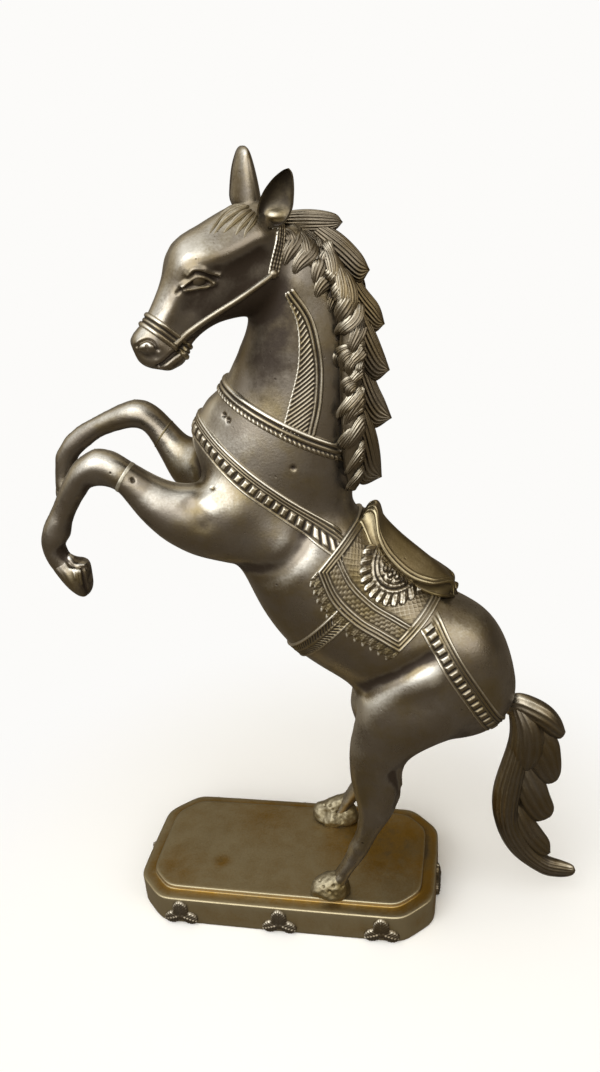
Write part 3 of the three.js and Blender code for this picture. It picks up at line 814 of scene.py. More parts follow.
ARM_CREASE = [(192, 505), (198, 513), (203, 522)]
SHOULDER_POINT = [(212, 505), (224, 503), (238, 508)]
ELBOW_FOLD = [(243, 569), (262, 571), (280, 566), (296, 551), (303, 537)]
CHEST_FOLD = [(196, 462), (200, 478), (199, 492)]
FLANK_FOLD = [(366, 690), (378, 684), (396, 677), (414, 667), (430, 659)]
THIGH_RISE = [(366, 705), (384, 697), (406, 688), (428, 680)]
FAR_THIGH = [(357, 684), (356, 694), (359, 706)]
FAR_THIGH_Y = 14.0
GASKIN_LINE = [(394, 775), (399, 790), (396, 806)]
HOCK_CORD = [(398, 772), (402, 790), (401, 803)]
FETLOCK = [(351, 846), (358, 852)]
HEEL_BULB = [(72, 560), (78, 562), (84, 564)]
HOOF_AXIS = [(70, 570), (79, 579), (86, 588)]
HOOF_CRACK = [(64.5, 558), (68, 561.5), (71, 565.5)]
HEEL_EDGE = [(71, 565.5), (78, 567), (86, 568)]
SOLE_EDGE = [(83, 569), (84, 578), (86, 587), (88, 593)]
HOOF_GRAIN = [[(73.5, 570), (75.5, 579)], [(76.5, 570), (78.5, 582)], [(79.8, 570.5), (81.6, 584)]]
CHEST_FULL = [(207, 402), (200, 417), (196, 432)]
THROAT_SHADE = [(246, 318), (252, 340), (254, 365), (248, 390)]
NECK_SHADE = [(276, 300), (281, 330), (277, 362)]
CHEEK_SHADE = [(205, 303), (226, 297), (246, 285)]
KNEE_HOLLOW = [(86, 483), (92, 478), (100, 480)]
CASTING_PITS = [(132.5, 480), (228, 420), (224, 415), (213, 489), (293, 468)]
print("the photograph shows the near eye at", EYE, "and", len(CASTING_PITS), "large pits")

# %% Finer skin on the head and along its fine lines
FINE_LINES = [UPPER_LID, LOWER_LID, LID_FOLD, FOLD_CREASE, TEAR_LINE, NOSTRIL_CREASE, NOSTRIL_SPLIT,
              MOUTH, CHIN_FOLD]
FINE_REACH = 3.5
HEAD_LOW, HEAD_HIGH = np.array([-80, -20, 284]), np.array([3, 20, 400])


def in_head(place):
    """Whether a place on the workbench lies in a box round the head."""
    inside = to_head(place)
    return (inside > HEAD_LOW).all() and (inside < HEAD_HIGH).all()


def refine(mesh, wanted):
    """Divides the faces that are wanted, given their middles on the workbench."""
    bm = bmesh.new()
    bm.from_mesh(mesh)
    edges = set()
    for face in bm.faces:
        if wanted(to_bench(face.calc_center_median())):
            edges.update(face.edges)
    bmesh.ops.subdivide_edges(bm, edges=list(edges), cuts=1, use_grid_fill=True, smooth=0.6)
    bm.to_mesh(mesh)
    bm.free()


def is_near(place, marks, reach):
    """Whether a place lies within reach of any of the marks."""
    return np.linalg.norm(marks - place, axis=1).min() < reach


fine_marks = [skin_surface.seen(pixels, 12) for pixels in FINE_LINES]
fine_marks += [across_head(line) for line in fine_marks]
pit_marks = [skin_surface.seen([pit, np.add(pit, 0.5)], 2) for pit in CASTING_PITS]
fine_marks, pit_marks = np.vstack(fine_marks + pit_marks), np.vstack(pit_marks)
refine(skin.data, lambda place: in_head(place) or is_near(place, pit_marks, 2 * FINE_REACH))
soften(skin.data, 2)
refine(skin.data, lambda place: is_near(place, fine_marks, FINE_REACH))
soften(skin.data, 2)
print("skin with a finer head:", len(skin.data.polygons), "faces")

# %% Strokes
def stroke(mesh, lines, radius, height):
    """Moves the skin along its normals beside lines of places: height is at the line, radius is the reach."""
    places, normals = to_bench(places_of(mesh)), normals_of(mesh)
    moved = np.zeros(len(places))
    for line in lines:
        low, high = line.min(axis=0) - 3 * radius, line.max(axis=0) + 3 * radius
        near = np.flatnonzero(((places > low) & (places < high)).all(axis=1))
        gaps = np.linalg.norm(places[near, None] - line[None], axis=2).min(axis=1) / radius
        push = np.exp(-gaps**2) * height
        moved[near] = np.where(np.abs(push) > np.abs(moved[near]), push, moved[near])
    move_to(mesh, places + normals * moved[:, None])


def strokes_seen(strokes, mirror=None):
    """Strokes along lines of the photograph (pixels, radius, height), and their mirror images if wanted."""
    for pixels, radius, height in strokes:
        line = skin_surface.seen(pixels, 24)
        stroke(skin.data, [line] + ([mirror(line)] if mirror else []), radius, height)


FAR_THIGH_RADIUS, FAR_THIGH_HEIGHT = 13.0, 4.2
PIT_RADIUS, PIT_DEPTH = 0.9, 1.3
strokes_seen([
    (BROW, 7.0, 2.4), (CHEEK_PLANE, 8.5, -1.8), (FACE_RIDGE, 4.0, 1.0), (FACE_SIDE, 6.5, -1.2),
    (JAW_HOLLOW, 5.0, -0.5), (CHIN, 3.6, 1.6), (NOSTRIL_WING, 3.6, 1.0),
], across_head)
skin_surface = Surface(skin.data)
strokes_seen([(BROW_UNDER, 5.0, -0.9), (EYE_SOCKET, 4.6, -1.6), (NOSTRIL, 3.0, -1.6)], across_head)
skin_surface = Surface(skin.data)
strokes_seen([
    (UPPER_LID, 0.9, 1.7), (LOWER_LID, 0.8, 1.3), (LID_FOLD, 1.0, 1.2), (FOLD_CREASE, 0.7, -0.8),
    (TEAR_LINE, 0.8, -0.6), (NOSTRIL_CREASE, 0.8, -1.2), (NOSTRIL_SPLIT, 0.6, -0.5), (MOUTH, 0.9, -2.0),
    (CHIN_FOLD, 1.2, -1.2),
], across_head)
strokes_seen([
    (ARM_CREASE, 5.0, -1.2), (SHOULDER_POINT, 10.0, 1.4), (FLANK_FOLD, 4.6, -2.0), (THIGH_RISE, 9.0, 1.8),
    (GASKIN_LINE, 3.2, -1.2), (HOCK_CORD, 2.4, 1.2), (FETLOCK, 4.0, 1.0),
], across_body)
strokes_seen([
    (ELBOW_FOLD, 4.5, -1.5), (CHEST_FOLD, 4.0, -1.0), (HEEL_BULB, 2.4, 0.9), (KNEE_HOLLOW, 4.0, -0.5),
    (CHEST_FULL, 10.0, 3.4),
])
far_thigh = spline(pixels_at(FAR_THIGH, FAR_THIGH_Y), 16)
stroke(skin.data, [far_thigh], FAR_THIGH_RADIUS, FAR_THIGH_HEIGHT)
strokes_seen([([pit, np.add(pit, 0.5)], PIT_RADIUS, -PIT_DEPTH) for pit in CASTING_PITS])
print("sculpted:", len(FINE_LINES), "fine lines on each side of the face and", len(CASTING_PITS), "pits")

# %% [markdown]
# ## Eyeballs and fore hooves
# An eyeball is a sphere behind each pair of lids. The raised hooves are wedges with fine lines down their
# walls. They could be pushed out of the skin by strokes, but would stay soft. They join the skin as
# closed shells, so the edge between them and the skin stays crisp, as if cut with a chisel.

# %% Eyeballs and fore hooves
EYE_RADIUS, EYE_PROUD = 4.6, 0.9
NEAR_FORE_Y, FAR_FORE_Y = -26.0, 22.0
NEAR_HOOF_FRONT = [(50, 556), (54, 567), (66, 580), (78, 590.5), (87, 594.5)]
NEAR_HOOF_REAR = [(69, 553), (77, 558.5), (85, 560.5), (89, 565), (91, 577), (92, 586), (90.5, 592),
                  (87, 594.5)]
FAR_HOOF_FRONT = [(-112, 217), (-113.2, 212), (-113.2, 208.5), (-111, 206), (-107.8, 205.3)]
FAR_HOOF_REAR = [(-104, 217), (-103.2, 212), (-103.2, 208.5), (-105, 206), (-107.8, 205.3)]
NEAR_HOOF_THICK, FAR_HOOF_THICK = 22.0, 18.0
HOOF_CUT = 0.08
AXIS_RADIUS, AXIS_DEPTH = 10.0, 2.4


def eyeballs(surface):
    """Spheres behind the lids."""
    shells = []
    near_eye = surface.seen([EYE, (EYE[0] + 2, EYE[1])], 2).mean(axis=0)
    for place in (near_eye, across_head(near_eye)):
        place, normal = (np.array(part) for part in surface.tree.find_nearest(Vector(place))[:2])
        centre = to_frame(place - normal * (EYE_RADIUS - EYE_PROUD))
        shells.append(bmesh.new())
        bmesh.ops.create_uvsphere(shells[-1], u_segments=40, v_segments=24, radius=EYE_RADIUS * MM,
                                  matrix=Matrix.Translation(centre))
    return shells


def fore_hooves():
    """The near hoof, drawn in the photograph, and the far one, drawn in the side view."""
    near = [pixels_at(edge, NEAR_FORE_Y) for edge in (NEAR_HOOF_FRONT, NEAR_HOOF_REAR)]
    far = [[(x, FAR_FORE_Y, z) for x, z in edge] for edge in (FAR_HOOF_FRONT, FAR_HOOF_REAR)]
    return [flame(*near, NEAR_HOOF_THICK, -ASIDE, 16, 40, HOOF_CUT),
            flame(*far, FAR_HOOF_THICK, -ASIDE, 8, 30, HOOF_CUT)]


skin_surface = Surface(skin.data)
balls = eyeballs(skin_surface)
near_axis = spline(pixels_at(HOOF_AXIS, NEAR_FORE_Y), 12)
stroke(skin.data, [near_axis], AXIS_RADIUS, -AXIS_DEPTH)
join(skin.data, balls + fore_hooves())
skin_surface = Surface(skin.data)
strokes_seen([(HOOF_CRACK, 0.8, -0.9), (HEEL_EDGE, 0.9, -0.6), (SOLE_EDGE, 0.9, -0.7)])
strokes_seen([(line, 0.6, 0.45) for line in HOOF_GRAIN])
finish(skin, "casting_brass", *SKIN_NODES, depth=0.45, rounds=(12, 80))

# %% Painted shadow under the head
# Painted shadow: the throat, the neck under the jaw and the cheek are painted darker, where the head shades
# them.
PAINTED_SHADE_LINES = [(THROAT_SHADE, 14.0, 0.5), (NECK_SHADE, 13.0, 0.6), (CHEEK_SHADE, 9.0, 0.35)]
for pixels, radius, amount in PAINTED_SHADE_LINES:
    stain_and_shade(skin.data, skin_surface.seen(pixels, 12), radius, amount)
print("darker patina along", len(PAINTED_SHADE_LINES), "lines of the throat, neck and cheek")

# %% [markdown]
# ## Breast strap and crupper straps
# These are the studded straps. On the real statue each is a cast band: ridges along its upper edge, a row
# of square studs, and one ridge along its lower edge. A curve with a bevel could draw the band, but would
# float over the hollows of the body. So its places come from rays that meet the skin, and only the
# pattern is drawn here.

# %% Studded straps
BREAST_LINE = [(-19, 250), (33, 208)]
BREAST_WIDTH, BREAST_TURN = 10.0, 2.78
CRUPPER_LINE = [(80, 164), (91, 144), (102, 124), (113, 102)]
CRUPPER_WIDTH = 9.5
STUD_PITCH = 4.2
STUD_TALL = 1.45


def studded(places, width, flip=1):
    """Heights of a studded band, and the distance along it: flip 1 has its ridges on the upper edge."""
    along, across = strap_measures(places, width)
    edge = across * flip - width / 2
    ridges = np.maximum.reduce([
        0.85 * bead(edge + 0.7, 0.75), 0.75 * bead(edge + 2.1, 0.65), 0.6 * bead(edge + 3.4, 0.55),
        0.55 * bead(edge + width - 0.6, 0.65),
    ])
    studs = 0.95 * stud(repeat(along, STUD_PITCH) * STUD_TALL, edge + width - 3.7, 2.4, 1.0)
    return 0.35 + np.maximum(ridges, studs), along


breast_angles = np.linspace(-BREAST_TURN, BREAST_TURN, 460)
places, middle = strap_round(skin_surface, BREAST_LINE[::-1], breast_angles, BREAST_WIDTH)
heights = tucked(*studded(places, BREAST_WIDTH, -1), 9.0)
breast_strap = as_object("breast_strap", sheet(places, heights, middle))
finish(breast_strap, "tack_brass", "breast_strap", depth=0.35)
for name, side in (("near_crupper_strap", NEAR), ("far_crupper_strap", FAR)):
    places = strap_beside(skin_surface, CRUPPER_LINE, side, CRUPPER_WIDTH, 190)
    crupper = as_object(name, sheet(places, tucked(*studded(places, CRUPPER_WIDTH)), (95, 0, 128)))
    finish(crupper, "tack_brass", name, depth=0.35)

# %% [markdown]
# ## Collar, girth and garlands
# The collar is two smooth rings with a rope below them. The girth is hatched like a plaited cinch. The
# garland on each side of the neck is a tapering strip of slanting cuts beside a double rim. A rope could
# be twisted from real strands, but here it is cast, and only about a millimetre high. So all of them are
# sheets in relief, like the studded straps.

# %% Collar and girth
COLLAR_LINE = [(-8, 271), (43, 243)]
COLLAR_WIDTH = 7.5
ROPE_PITCH = 2.2
GIRTH_LINE = [(58, 186), (16, 143)]
GIRTH_WIDTH, GIRTH_TURN = 9.0, 1.9
HATCH_PITCH = 2.0


def roped(places):
    """Heights of two smooth rings above a rope."""
    along, across = strap_measures(places, COLLAR_WIDTH)
    rings = np.maximum(1.5 * bead(across - 2.4, 1.25), 1.3 * bead(across + 0.1, 1.2))
    lay = 0.75 + 0.25 * np.cos(2 * math.pi * (along + 0.8 * across) / ROPE_PITCH)
    return 0.35 + np.maximum(rings, 1.25 * bead(across + 2.6, 1.2) * lay)


def hatched(places):
    """Heights of a plait between two ridges, with a spine along its middle."""
    along, across = strap_measures(places, GIRTH_WIDTH)
    half = GIRTH_WIDTH / 2
    cuts = np.abs(repeat(along + np.abs(across), HATCH_PITCH)) / HATCH_PITCH * 2
    edge = 0.8 * bead(np.abs(across) - (half - 0.7), 0.75)
    spine = 0.7 * bead(across, 0.6)
    return 0.4 + np.maximum.reduce([0.65 * cuts * (np.abs(across) < half - 1.4), edge, spine])


places, middle = strap_round(skin_surface, COLLAR_LINE, np.linspace(0, 2 * math.pi, 400), COLLAR_WIDTH)
neck_collar = as_object("neck_collar", sheet(places, roped(places), middle, closed=True))
finish(neck_collar, "tack_brass", "neck_collar")
girth_angles = np.linspace(-GIRTH_TURN, GIRTH_TURN, 360)
places, middle = strap_round(skin_surface, GIRTH_LINE, girth_angles, GIRTH_WIDTH)
girth = as_object("girth", sheet(places, hatched(places), middle))
finish(girth, "tack_brass", "girth")

# %% Garlands
GARLAND_FRONT = [(23, 313), (27.5, 300), (27, 284), (22.5, 268), (18, 254)]
GARLAND_REAR = [(27, 315), (34.5, 302), (37.5, 285), (36.5, 268), (33, 253)]
CUT_PITCH = 2.4


def garland_places(side):
    """Places of a strip between two lines of the side view."""
    front, rear = spline(GARLAND_FRONT, 170), spline(GARLAND_REAR, 170)
    return np.array([skin_surface.beside(front + (rear - front) * t, side) for t in np.linspace(0, 1, 34)])


def garlanded(places):
    """Heights of slanting cuts between a narrow edge and a double rim."""
    along = walked(places, 1)
    across = walked(places, 0)
    width = across[-1:]
    rim = np.maximum(1.15 * bead(across - width + 0.9, 0.95), 0.95 * bead(across - width + 2.9, 0.85))
    edge = 0.8 * bead(across - 0.6, 0.7)
    cuts = 0.75 * np.abs(repeat(along + across * 0.7, CUT_PITCH)) / CUT_PITCH * 2 + 0.1
    return 0.35 + np.maximum.reduce([cuts * (across < width - 4.0), rim, edge])


for name, side in (("near_neck_garland", NEAR), ("far_neck_garland", FAR)):
    places = garland_places(side)
    garland = as_object(name, sheet(places, garlanded(places), (28, 0, 283)))
    finish(garland, "tack_brass", name)

# %% [markdown]
# ## Bridle
# A noseband of two ridges goes round the muzzle. A thin strap runs from it along each cheek to a knob
# under the ear, and turns up there to the poll. The straps could be bent into place by hand, but rays in
# the head's own frame lay them on the metal by themselves, on the far side as on the near one.

# %% Noseband and cheek straps
NOSEBAND_LINE = [(-65, 309.5), (-49.5, 294.5)]
NOSEBAND_WIDTH, NOSE_REACH = 6.5, 16.0
CHEEK_LINE = [(-56, 298.8), (-48, 303.4), (-40, 307.5), (-27, 314), (-12, 321.5)]
CHEEK_RISE = [(-12, 321), (-9.5, 328), (-6.5, 336), (-5, 341)]
CHEEK_KNOB, KNOB_RADIUS = (-12, 321.5), 2.1
CHEEK_WIDTH, RISE_WIDTH = 2.8, 5.0


def banded(places):
    """Heights of two ridges with a thinner one between them."""
    across = strap_measures(places, NOSEBAND_WIDTH)[1]
    ridges = np.maximum(0.9 * bead(across - 2.1, 1.05), 0.9 * bead(across + 2.1, 1.05))
    return 0.15 + np.maximum(ridges, 0.5 * bead(across, 0.8))


def corded(places):
    """Heights of one round cord."""
    across = strap_measures(places, CHEEK_WIDTH)[1]
    return -0.3 + 1.7 * bead(across, CHEEK_WIDTH / 2)


def stitched(places):
    """Heights of four cords side by side, dented like stitches."""
    along, across = strap_measures(places, RISE_WIDTH)
    cords = np.maximum.reduce([bead(across - shift, 0.62) for shift in (-2.1, -0.7, 0.7, 2.1)])
    return 0.1 + 0.6 * cords * (0.85 + 0.15 * np.cos(2 * math.pi * along / 1.7))


over_nose, under_chin = (np.array([x, 0.0, z]) for x, z in NOSEBAND_LINE)
nose_middle = from_head((over_nose + under_chin) / 2)
nose_lift = TURN @ unit(over_nose - under_chin)
nose_side = TURN @ ASIDE
rays = fan(nose_lift, np.linspace(0, 2 * math.pi, 220), nose_side)
shifts = np.linspace(-NOSEBAND_WIDTH / 2, NOSEBAND_WIDTH / 2, 22)
starts = [nose_middle + np.cross(nose_lift, nose_side) * shift for shift in shifts]
places = np.array([[skin_surface.hit(start, ray, NOSE_REACH) for ray in rays] for start in starts])
noseband = as_object("noseband", sheet(places, banded(places), nose_middle, closed=True))
finish(noseband, "tack_brass", "noseband")

for name, side in (("near_cheek_strap", NEAR), ("far_cheek_strap", FAR)):
    head_middle = from_head((-30, 0, 315))
    shells = []
    for line, width, pattern in ((CHEEK_LINE, CHEEK_WIDTH, corded), (CHEEK_RISE, RISE_WIDTH, stitched)):
        places = strap_beside(skin_surface, line, side, width, 110, head=True)
        shells.append(sheet(places, pattern(places), head_middle))
    knob = bmesh.new()
    bmesh.ops.create_uvsphere(knob, u_segments=24, v_segments=16, radius=KNOB_RADIUS * MM)
    knob_line = [CHEEK_KNOB, np.add(CHEEK_KNOB, 0.5)]
    seat = strap_beside(skin_surface, knob_line, side, 1.0, 3, head=True)[1, 0]
    bmesh.ops.translate(knob, verts=knob.verts, vec=to_frame(seat))
    finish(gathered(name, shells + [knob]), "tack_brass", name)

# %% [markdown]
# ## Saddle blanket
# The blanket lies over the back like a sheet, so its grid runs from the near lower edge over the spine to
# the far one. A cloth simulation could drape it, but would give it folds that cast metal does not have.
# Its rays start in the lower edge's plane and fan out, and go on a little below that edge for the fringe
# of leaves. Border, bricks and leaves are heights that depend on the distance from the blanket's edges.

# %% Blanket
BLANKET_LOWER = [(31.5, 192), (37.5, 177), (47, 166), (57.5, 158.5), (67.5, 151.5)]
BLANKET_UPPER = [(62, 226), (73, 214), (85, 201), (104, 185)]
FRINGE_DROP = 0.24
FRINGE_DEPTH = 7.0
LEAF_PITCH = 4.3
BRICK_LENGTH, BRICK_HEIGHT = 2.8, 1.7
BORDER_WIDTH, BRICKS_TOP, LATTICE_FROM, LATTICE_PITCH = 5.4, 10.5, 14.2, 3.0
BLANKET_WALL = 0.9


def blanket_places(rows, columns):
    """Places on the back, the middles that their rays start from, and the angles of those rays."""
    lower, upper = spline(BLANKET_LOWER, rows), spline(BLANKET_UPPER, rows)
    turn = math.pi / 2 + FRINGE_DROP
    angles = np.linspace(-turn, turn, columns)
    centres = np.stack([lower[:, 0], np.zeros(rows), lower[:, 1]], axis=1)
    lifts = unit(np.stack([upper[:, 0] - lower[:, 0], np.zeros(rows), upper[:, 1] - lower[:, 1]], axis=1))
    fans = [fan(lift, angles) for lift in lifts]
    places = [[skin_surface.hit(centre, ray) for ray in rays] for centre, rays in zip(centres, fans)]
    return np.array(places), centres[:, None], angles


def leaves(along, below, depth, height):
    """A row of veined, pointed leaves that hang down from an edge, sunk out of sight between them."""
    leaf = repeat(along, LEAF_PITCH)
    half = LEAF_PITCH / 2 * np.clip(1 - np.clip(below / depth, 0, 1) ** 3.5, 0, 1) ** 0.5
    blade = np.clip((half - np.abs(leaf)) / 0.5, 0, 1)
    veins = 0.3 * np.abs(repeat(below + np.abs(leaf) * 1.1, 1.5)) / 0.75
    return -0.3 + blade * (0.3 + height * 0.6 + np.maximum(veins, 0.35 * bead(leaf, 0.4)))


def blanket_heights(places, angles):
    """Heights of the border, bricks and lattice above the hem, and of the leaves below it."""
    along = walked(places, 0)
    length = along[-1:]
    from_end = np.minimum(along, length - along)
    around = walked(places, 1)
    hem = around[:, [int(np.argmin(np.abs(angles + math.pi / 2)))]]
    far_hem = around[:, [int(np.argmin(np.abs(angles - math.pi / 2)))]]
    above = np.minimum(around - hem, far_hem - around)
    inside = np.minimum(above, from_end)
    borders = np.maximum.reduce([
        1.0 * bead(inside - 0.8, 0.85), 0.9 * bead(inside - 2.5, 0.8), 0.8 * bead(inside - 4.1, 0.75),
    ])
    borders = borders * ((from_end < 9) | (above < 9))
    risen = above - BORDER_WIDTH
    course = np.floor(risen / BRICK_HEIGHT)
    brick = stud(
        repeat(along + course % 2 * BRICK_LENGTH / 2, BRICK_LENGTH) / BRICK_LENGTH * BRICK_HEIGHT,
        repeat(risen - BRICK_HEIGHT / 2, BRICK_HEIGHT), BRICK_HEIGHT / 2, 0.3)
    within = from_end > BORDER_WIDTH
    bricks = 0.28 * brick * ((risen > 0) & (above < BRICKS_TOP) & within)
    lines = np.maximum(0.8 * bead(above - 11.3, 0.7), 0.8 * bead(above - 12.8, 0.7)) * (from_end > 4.8)
    lattice = np.maximum.reduce([bead(repeat(along + above * lean, LATTICE_PITCH), 0.4) for lean in (1, -1)])
    lattice = 0.14 * lattice * ((above > LATTICE_FROM) & within)
    cloth = 0.85 + np.maximum.reduce([borders, bricks, lines, lattice])
    upper_leaves = leaves(along, -above, 4.6, 1.5)
    lower_leaves = leaves(along + LEAF_PITCH / 2, -above, FRINGE_DEPTH, 1.0)
    return np.where(above > -0.3, cloth, np.maximum(upper_leaves, lower_leaves))


places, centres, angles = blanket_places(126, 330)
heights = blanket_heights(places, angles)
saddle_blanket = as_object("saddle_blanket", sheet(places, heights, centres, wall=BLANKET_WALL))
finish(saddle_blanket, "tack_brass", "saddle_blanket", depth=0.35)

# %% [markdown]
# ## Saddle and flaps
# The saddle is smooth and rubbed golden. Its seat lies between a thin pommel and a thin cantle, a bright
# rolled rim runs along each side, and below the rim a skirt slopes down to the blanket. It could be
# modelled from a box and smoothed. One sheet across three lines of the photograph, which are the outline
# of its middle, its rim and the skirt's edge, is closer to it from the start. A flap is a fan of small
# beaded petals that comes out from under the skirt.

# %% Saddle
SEAT_MIDDLE = [(364, 514), (370, 506), (378, 504.5), (385, 517), (402, 534), (424, 552), (442, 567),
               (453, 578.5), (456, 592)]
SEAT_RIM = [(362, 518), (369, 510), (375.5, 513), (379, 536), (389, 556), (409, 575), (431, 583),
            (451, 582), (454, 595)]
SEAT_RIM_OUT = [-5, -4, -6, -10.5, -13, -14, -12, -4.5, -6]
SKIRT_EDGE = [(358, 521), (361, 524), (365, 533), (371, 547), (382, 563), (401, 578), (419, 590),
              (440, 597), (455, 597)]
SEAT_CROWN = 1.2
SADDLE_WALL = 2.0
flap_surface = Surface(saddle_blanket.data, skin.data)


def saddle_places(rows, columns):
    """Each row runs from the near skirt over the near rim, the seat and the far rim to the far skirt."""
    middle = pixels_at(SEAT_MIDDLE, 0.0)
    rim = pixels_at(SEAT_RIM, np.array(SEAT_RIM_OUT, float))
    edge = np.array([flap_surface.seen([pixel, np.add(pixel, 1)], 2)[0] for pixel in SKIRT_EDGE])
    crown = rim * 0.45 + middle * 0.55 + (0, 0, SEAT_CROWN)
    flank = edge * 0.5 + rim * 0.5 + (0, 0.8, 0)
    near = [spline(line, rows, even=False) for line in (edge, flank, rim, crown)]
    lines = near + [spline(middle, rows, even=False)] + [across_body(line) for line in near[::-1]]
    return np.array([spline(row, columns, even=False) for row in np.stack(lines, axis=1)])


def saddle_heights(places):
    """Heights of the rolled rims, the line inside them and the skirt's edge."""
    columns = places.shape[1]
    across = walked(places, 1)
    from_edge = np.minimum(across, across[:, -1:] - across)
    rim = across[:, [round((columns - 1) * 0.25)]]
    far_rim = across[:, [round((columns - 1) * 0.75)]]
    from_rim = np.minimum(np.abs(across - rim), np.abs(across - far_rim))
    inside = np.minimum(across - rim, far_rim - across)
    heights = np.maximum.reduce([
        0.9 * bead(from_rim, 1.0), 0.35 * bead(inside - 2.4, 0.6), 0.5 * bead(from_edge - 0.9, 0.8),
    ])
    steps = np.linspace(0, 1, len(places))[:, None]
    return heights * np.clip(np.minimum(steps, 1 - steps) / 0.12, 0, 1)


places = saddle_places(120, 145)
saddle = as_object("saddle", sheet(places, saddle_heights(places), (70, 0, 170), wall=SADDLE_WALL))
finish(saddle, "saddle_brass", "saddle", depth=0.5)

# %% Flaps
FLAP_CENTRE = np.array([68, 190])
FLAP_RADIUS, FLAP_WALL = 18.5, 0.9
PETAL_COUNT = 15
PETAL_LENGTH = 4.8
FLAP_FROM, FLAP_TO = math.radians(150), math.radians(345)


def flap_places(side, rows, columns):
    """Places of a fan on the blanket, with the radius of each row and the angle of each column."""
    radii = np.linspace(0.12, 1.0, rows) * FLAP_RADIUS
    angles = np.linspace(FLAP_FROM, FLAP_TO, columns)
    spokes = np.stack([np.cos(angles), np.sin(angles)], axis=1)
    places = [flap_surface.beside(FLAP_CENTRE + spokes * radius, side) for radius in radii]
    return np.array(places), radii[:, None], angles[None]


def petals(radii, angles):
    """Rounded petals round a raised rim, with curls and a beaded ring inside it."""
    share = (angles - FLAP_FROM) / (FLAP_TO - FLAP_FROM) * PETAL_COUNT
    leaf = repeat(share - 0.5, 1.0)
    half = (FLAP_TO - FLAP_FROM) / PETAL_COUNT / 2 * radii
    along = (radii - FLAP_RADIUS + PETAL_LENGTH / 2) / (PETAL_LENGTH / 2)
    petal = np.clip(1 - np.clip(along, 0, 1) ** 2 - (leaf * 2.02) ** 2, 0, 1)
    raised = 0.7 + np.sqrt(petal) + 0.25 * bead(leaf * 2 * half, 0.4)
    petal = np.where((petal > 0) & (along > -1), raised, -0.6)
    ring = FLAP_RADIUS - PETAL_LENGTH - 0.6
    rings = np.maximum(1.3 * bead(radii - ring, 0.85), 0.9 * bead(radii - ring + 2.0, 0.7))
    curls = np.hypot(repeat(share, 2.0) / 2 * 0.30 * radii, radii - ring + 5.0)
    curls = np.maximum(1.1 * bead(curls - 1.6, 0.7), 1.1 * bead(curls, 0.8))
    inner = 0.6 + np.maximum(rings + 0 * angles, curls)
    return np.where(radii > ring + 0.9, petal, inner)


for name, side in (("near_saddle_flap", NEAR), ("far_saddle_flap", FAR)):
    places, radii, angles = flap_places(side, 60, 260)
    flap = as_object(name, sheet(places, petals(radii, angles), (68, 0, 190), wall=FLAP_WALL))
    finish(flap, "tack_brass", name, depth=0.35)

# %% [markdown]
# ## Locks of hair
# Mane, forelock and tail are chased locks: each is a leaf that swells from its root and runs out in a
# point, with strands cut along it. Hair curves would look like real hair and not like metal, so one lock
# is a grid rolled round a line; its section is an oval whose radius ripples once for each strand.

# %% Locks
def resampled(vectors, count):
    """Directions along a line, spread over count places."""
    wanted = np.linspace(0, len(vectors) - 1, count)
    known = np.arange(len(vectors))
    return unit(np.stack([np.interp(wanted, known, vectors[:, axis]) for axis in range(3)], axis=1))


def lock(path, width, thick, facing, strands=12, rows=34, fullest=0.35):
    """A lock along a line of places: its fullest width and thickness, and the way its flat side faces."""
    line = spline(path, rows)
    steps = np.linspace(0, 1, rows)
    ahead = unit(np.gradient(line, axis=0))
    facing = resampled(np.broadcast_to(np.asarray(facing, float), (len(path), 3)), rows)
    thin = unit(facing - ahead * np.einsum("ij,ij->i", facing, ahead)[:, None])
    wide = np.cross(thin, ahead)
    swell = np.where(steps < fullest, np.sin(steps / fullest * math.pi / 2) ** 0.8,
                     np.cos((steps - fullest) / (1 - fullest) * math.pi / 2) ** 1.2)
    angles = np.linspace(0, 2 * math.pi, strands * 6 + 1)
    ripple = 1 + 2 * STRAND_CUT / thick * np.cos(strands * angles[None])
    across = np.cos(angles)[None] * ripple * (width / 2 * swell)[:, None]
    rise = np.sin(angles)[None] * ripple * (thick / 2 * swell ** 0.75)[:, None]
    return rolled(line[:, None] + wide[:, None] * across[..., None] + thin[:, None] * rise[..., None])


def lying(surface, pixels, lift, sunk, count=24):
    """A line on the surface seen through pixels, lifted but with sunken ends, and the way that it faces."""
    line = surface.seen(pixels, count)
    facing = np.array([[surface.tree.find_nearest(Vector(place))[1] for place in line]], float)
    facing = unit(smoothed(facing, 10)[0])
    toward = np.einsum("ij,ij->i", facing, CAMERA_PLACE - line)
    facing[toward < 0] *= -1
    arch = np.sin(np.linspace(0, math.pi, count))[:, None] ** 0.6
    return line + facing * (lift * arch - sunk * (1 - arch)), facing


print("locks ready")


# %% [markdown]
# ## Mane
# The crest is a row of flames that stand along the neck's ridge. Beside it, locks and curls lie on the
# neck and twist together into long plaits. They lie on a softened copy of their solid. One carved mass
# would be lighter, but separate locks shade each other, as the chased ones do. The far side mirrors the
# near side.

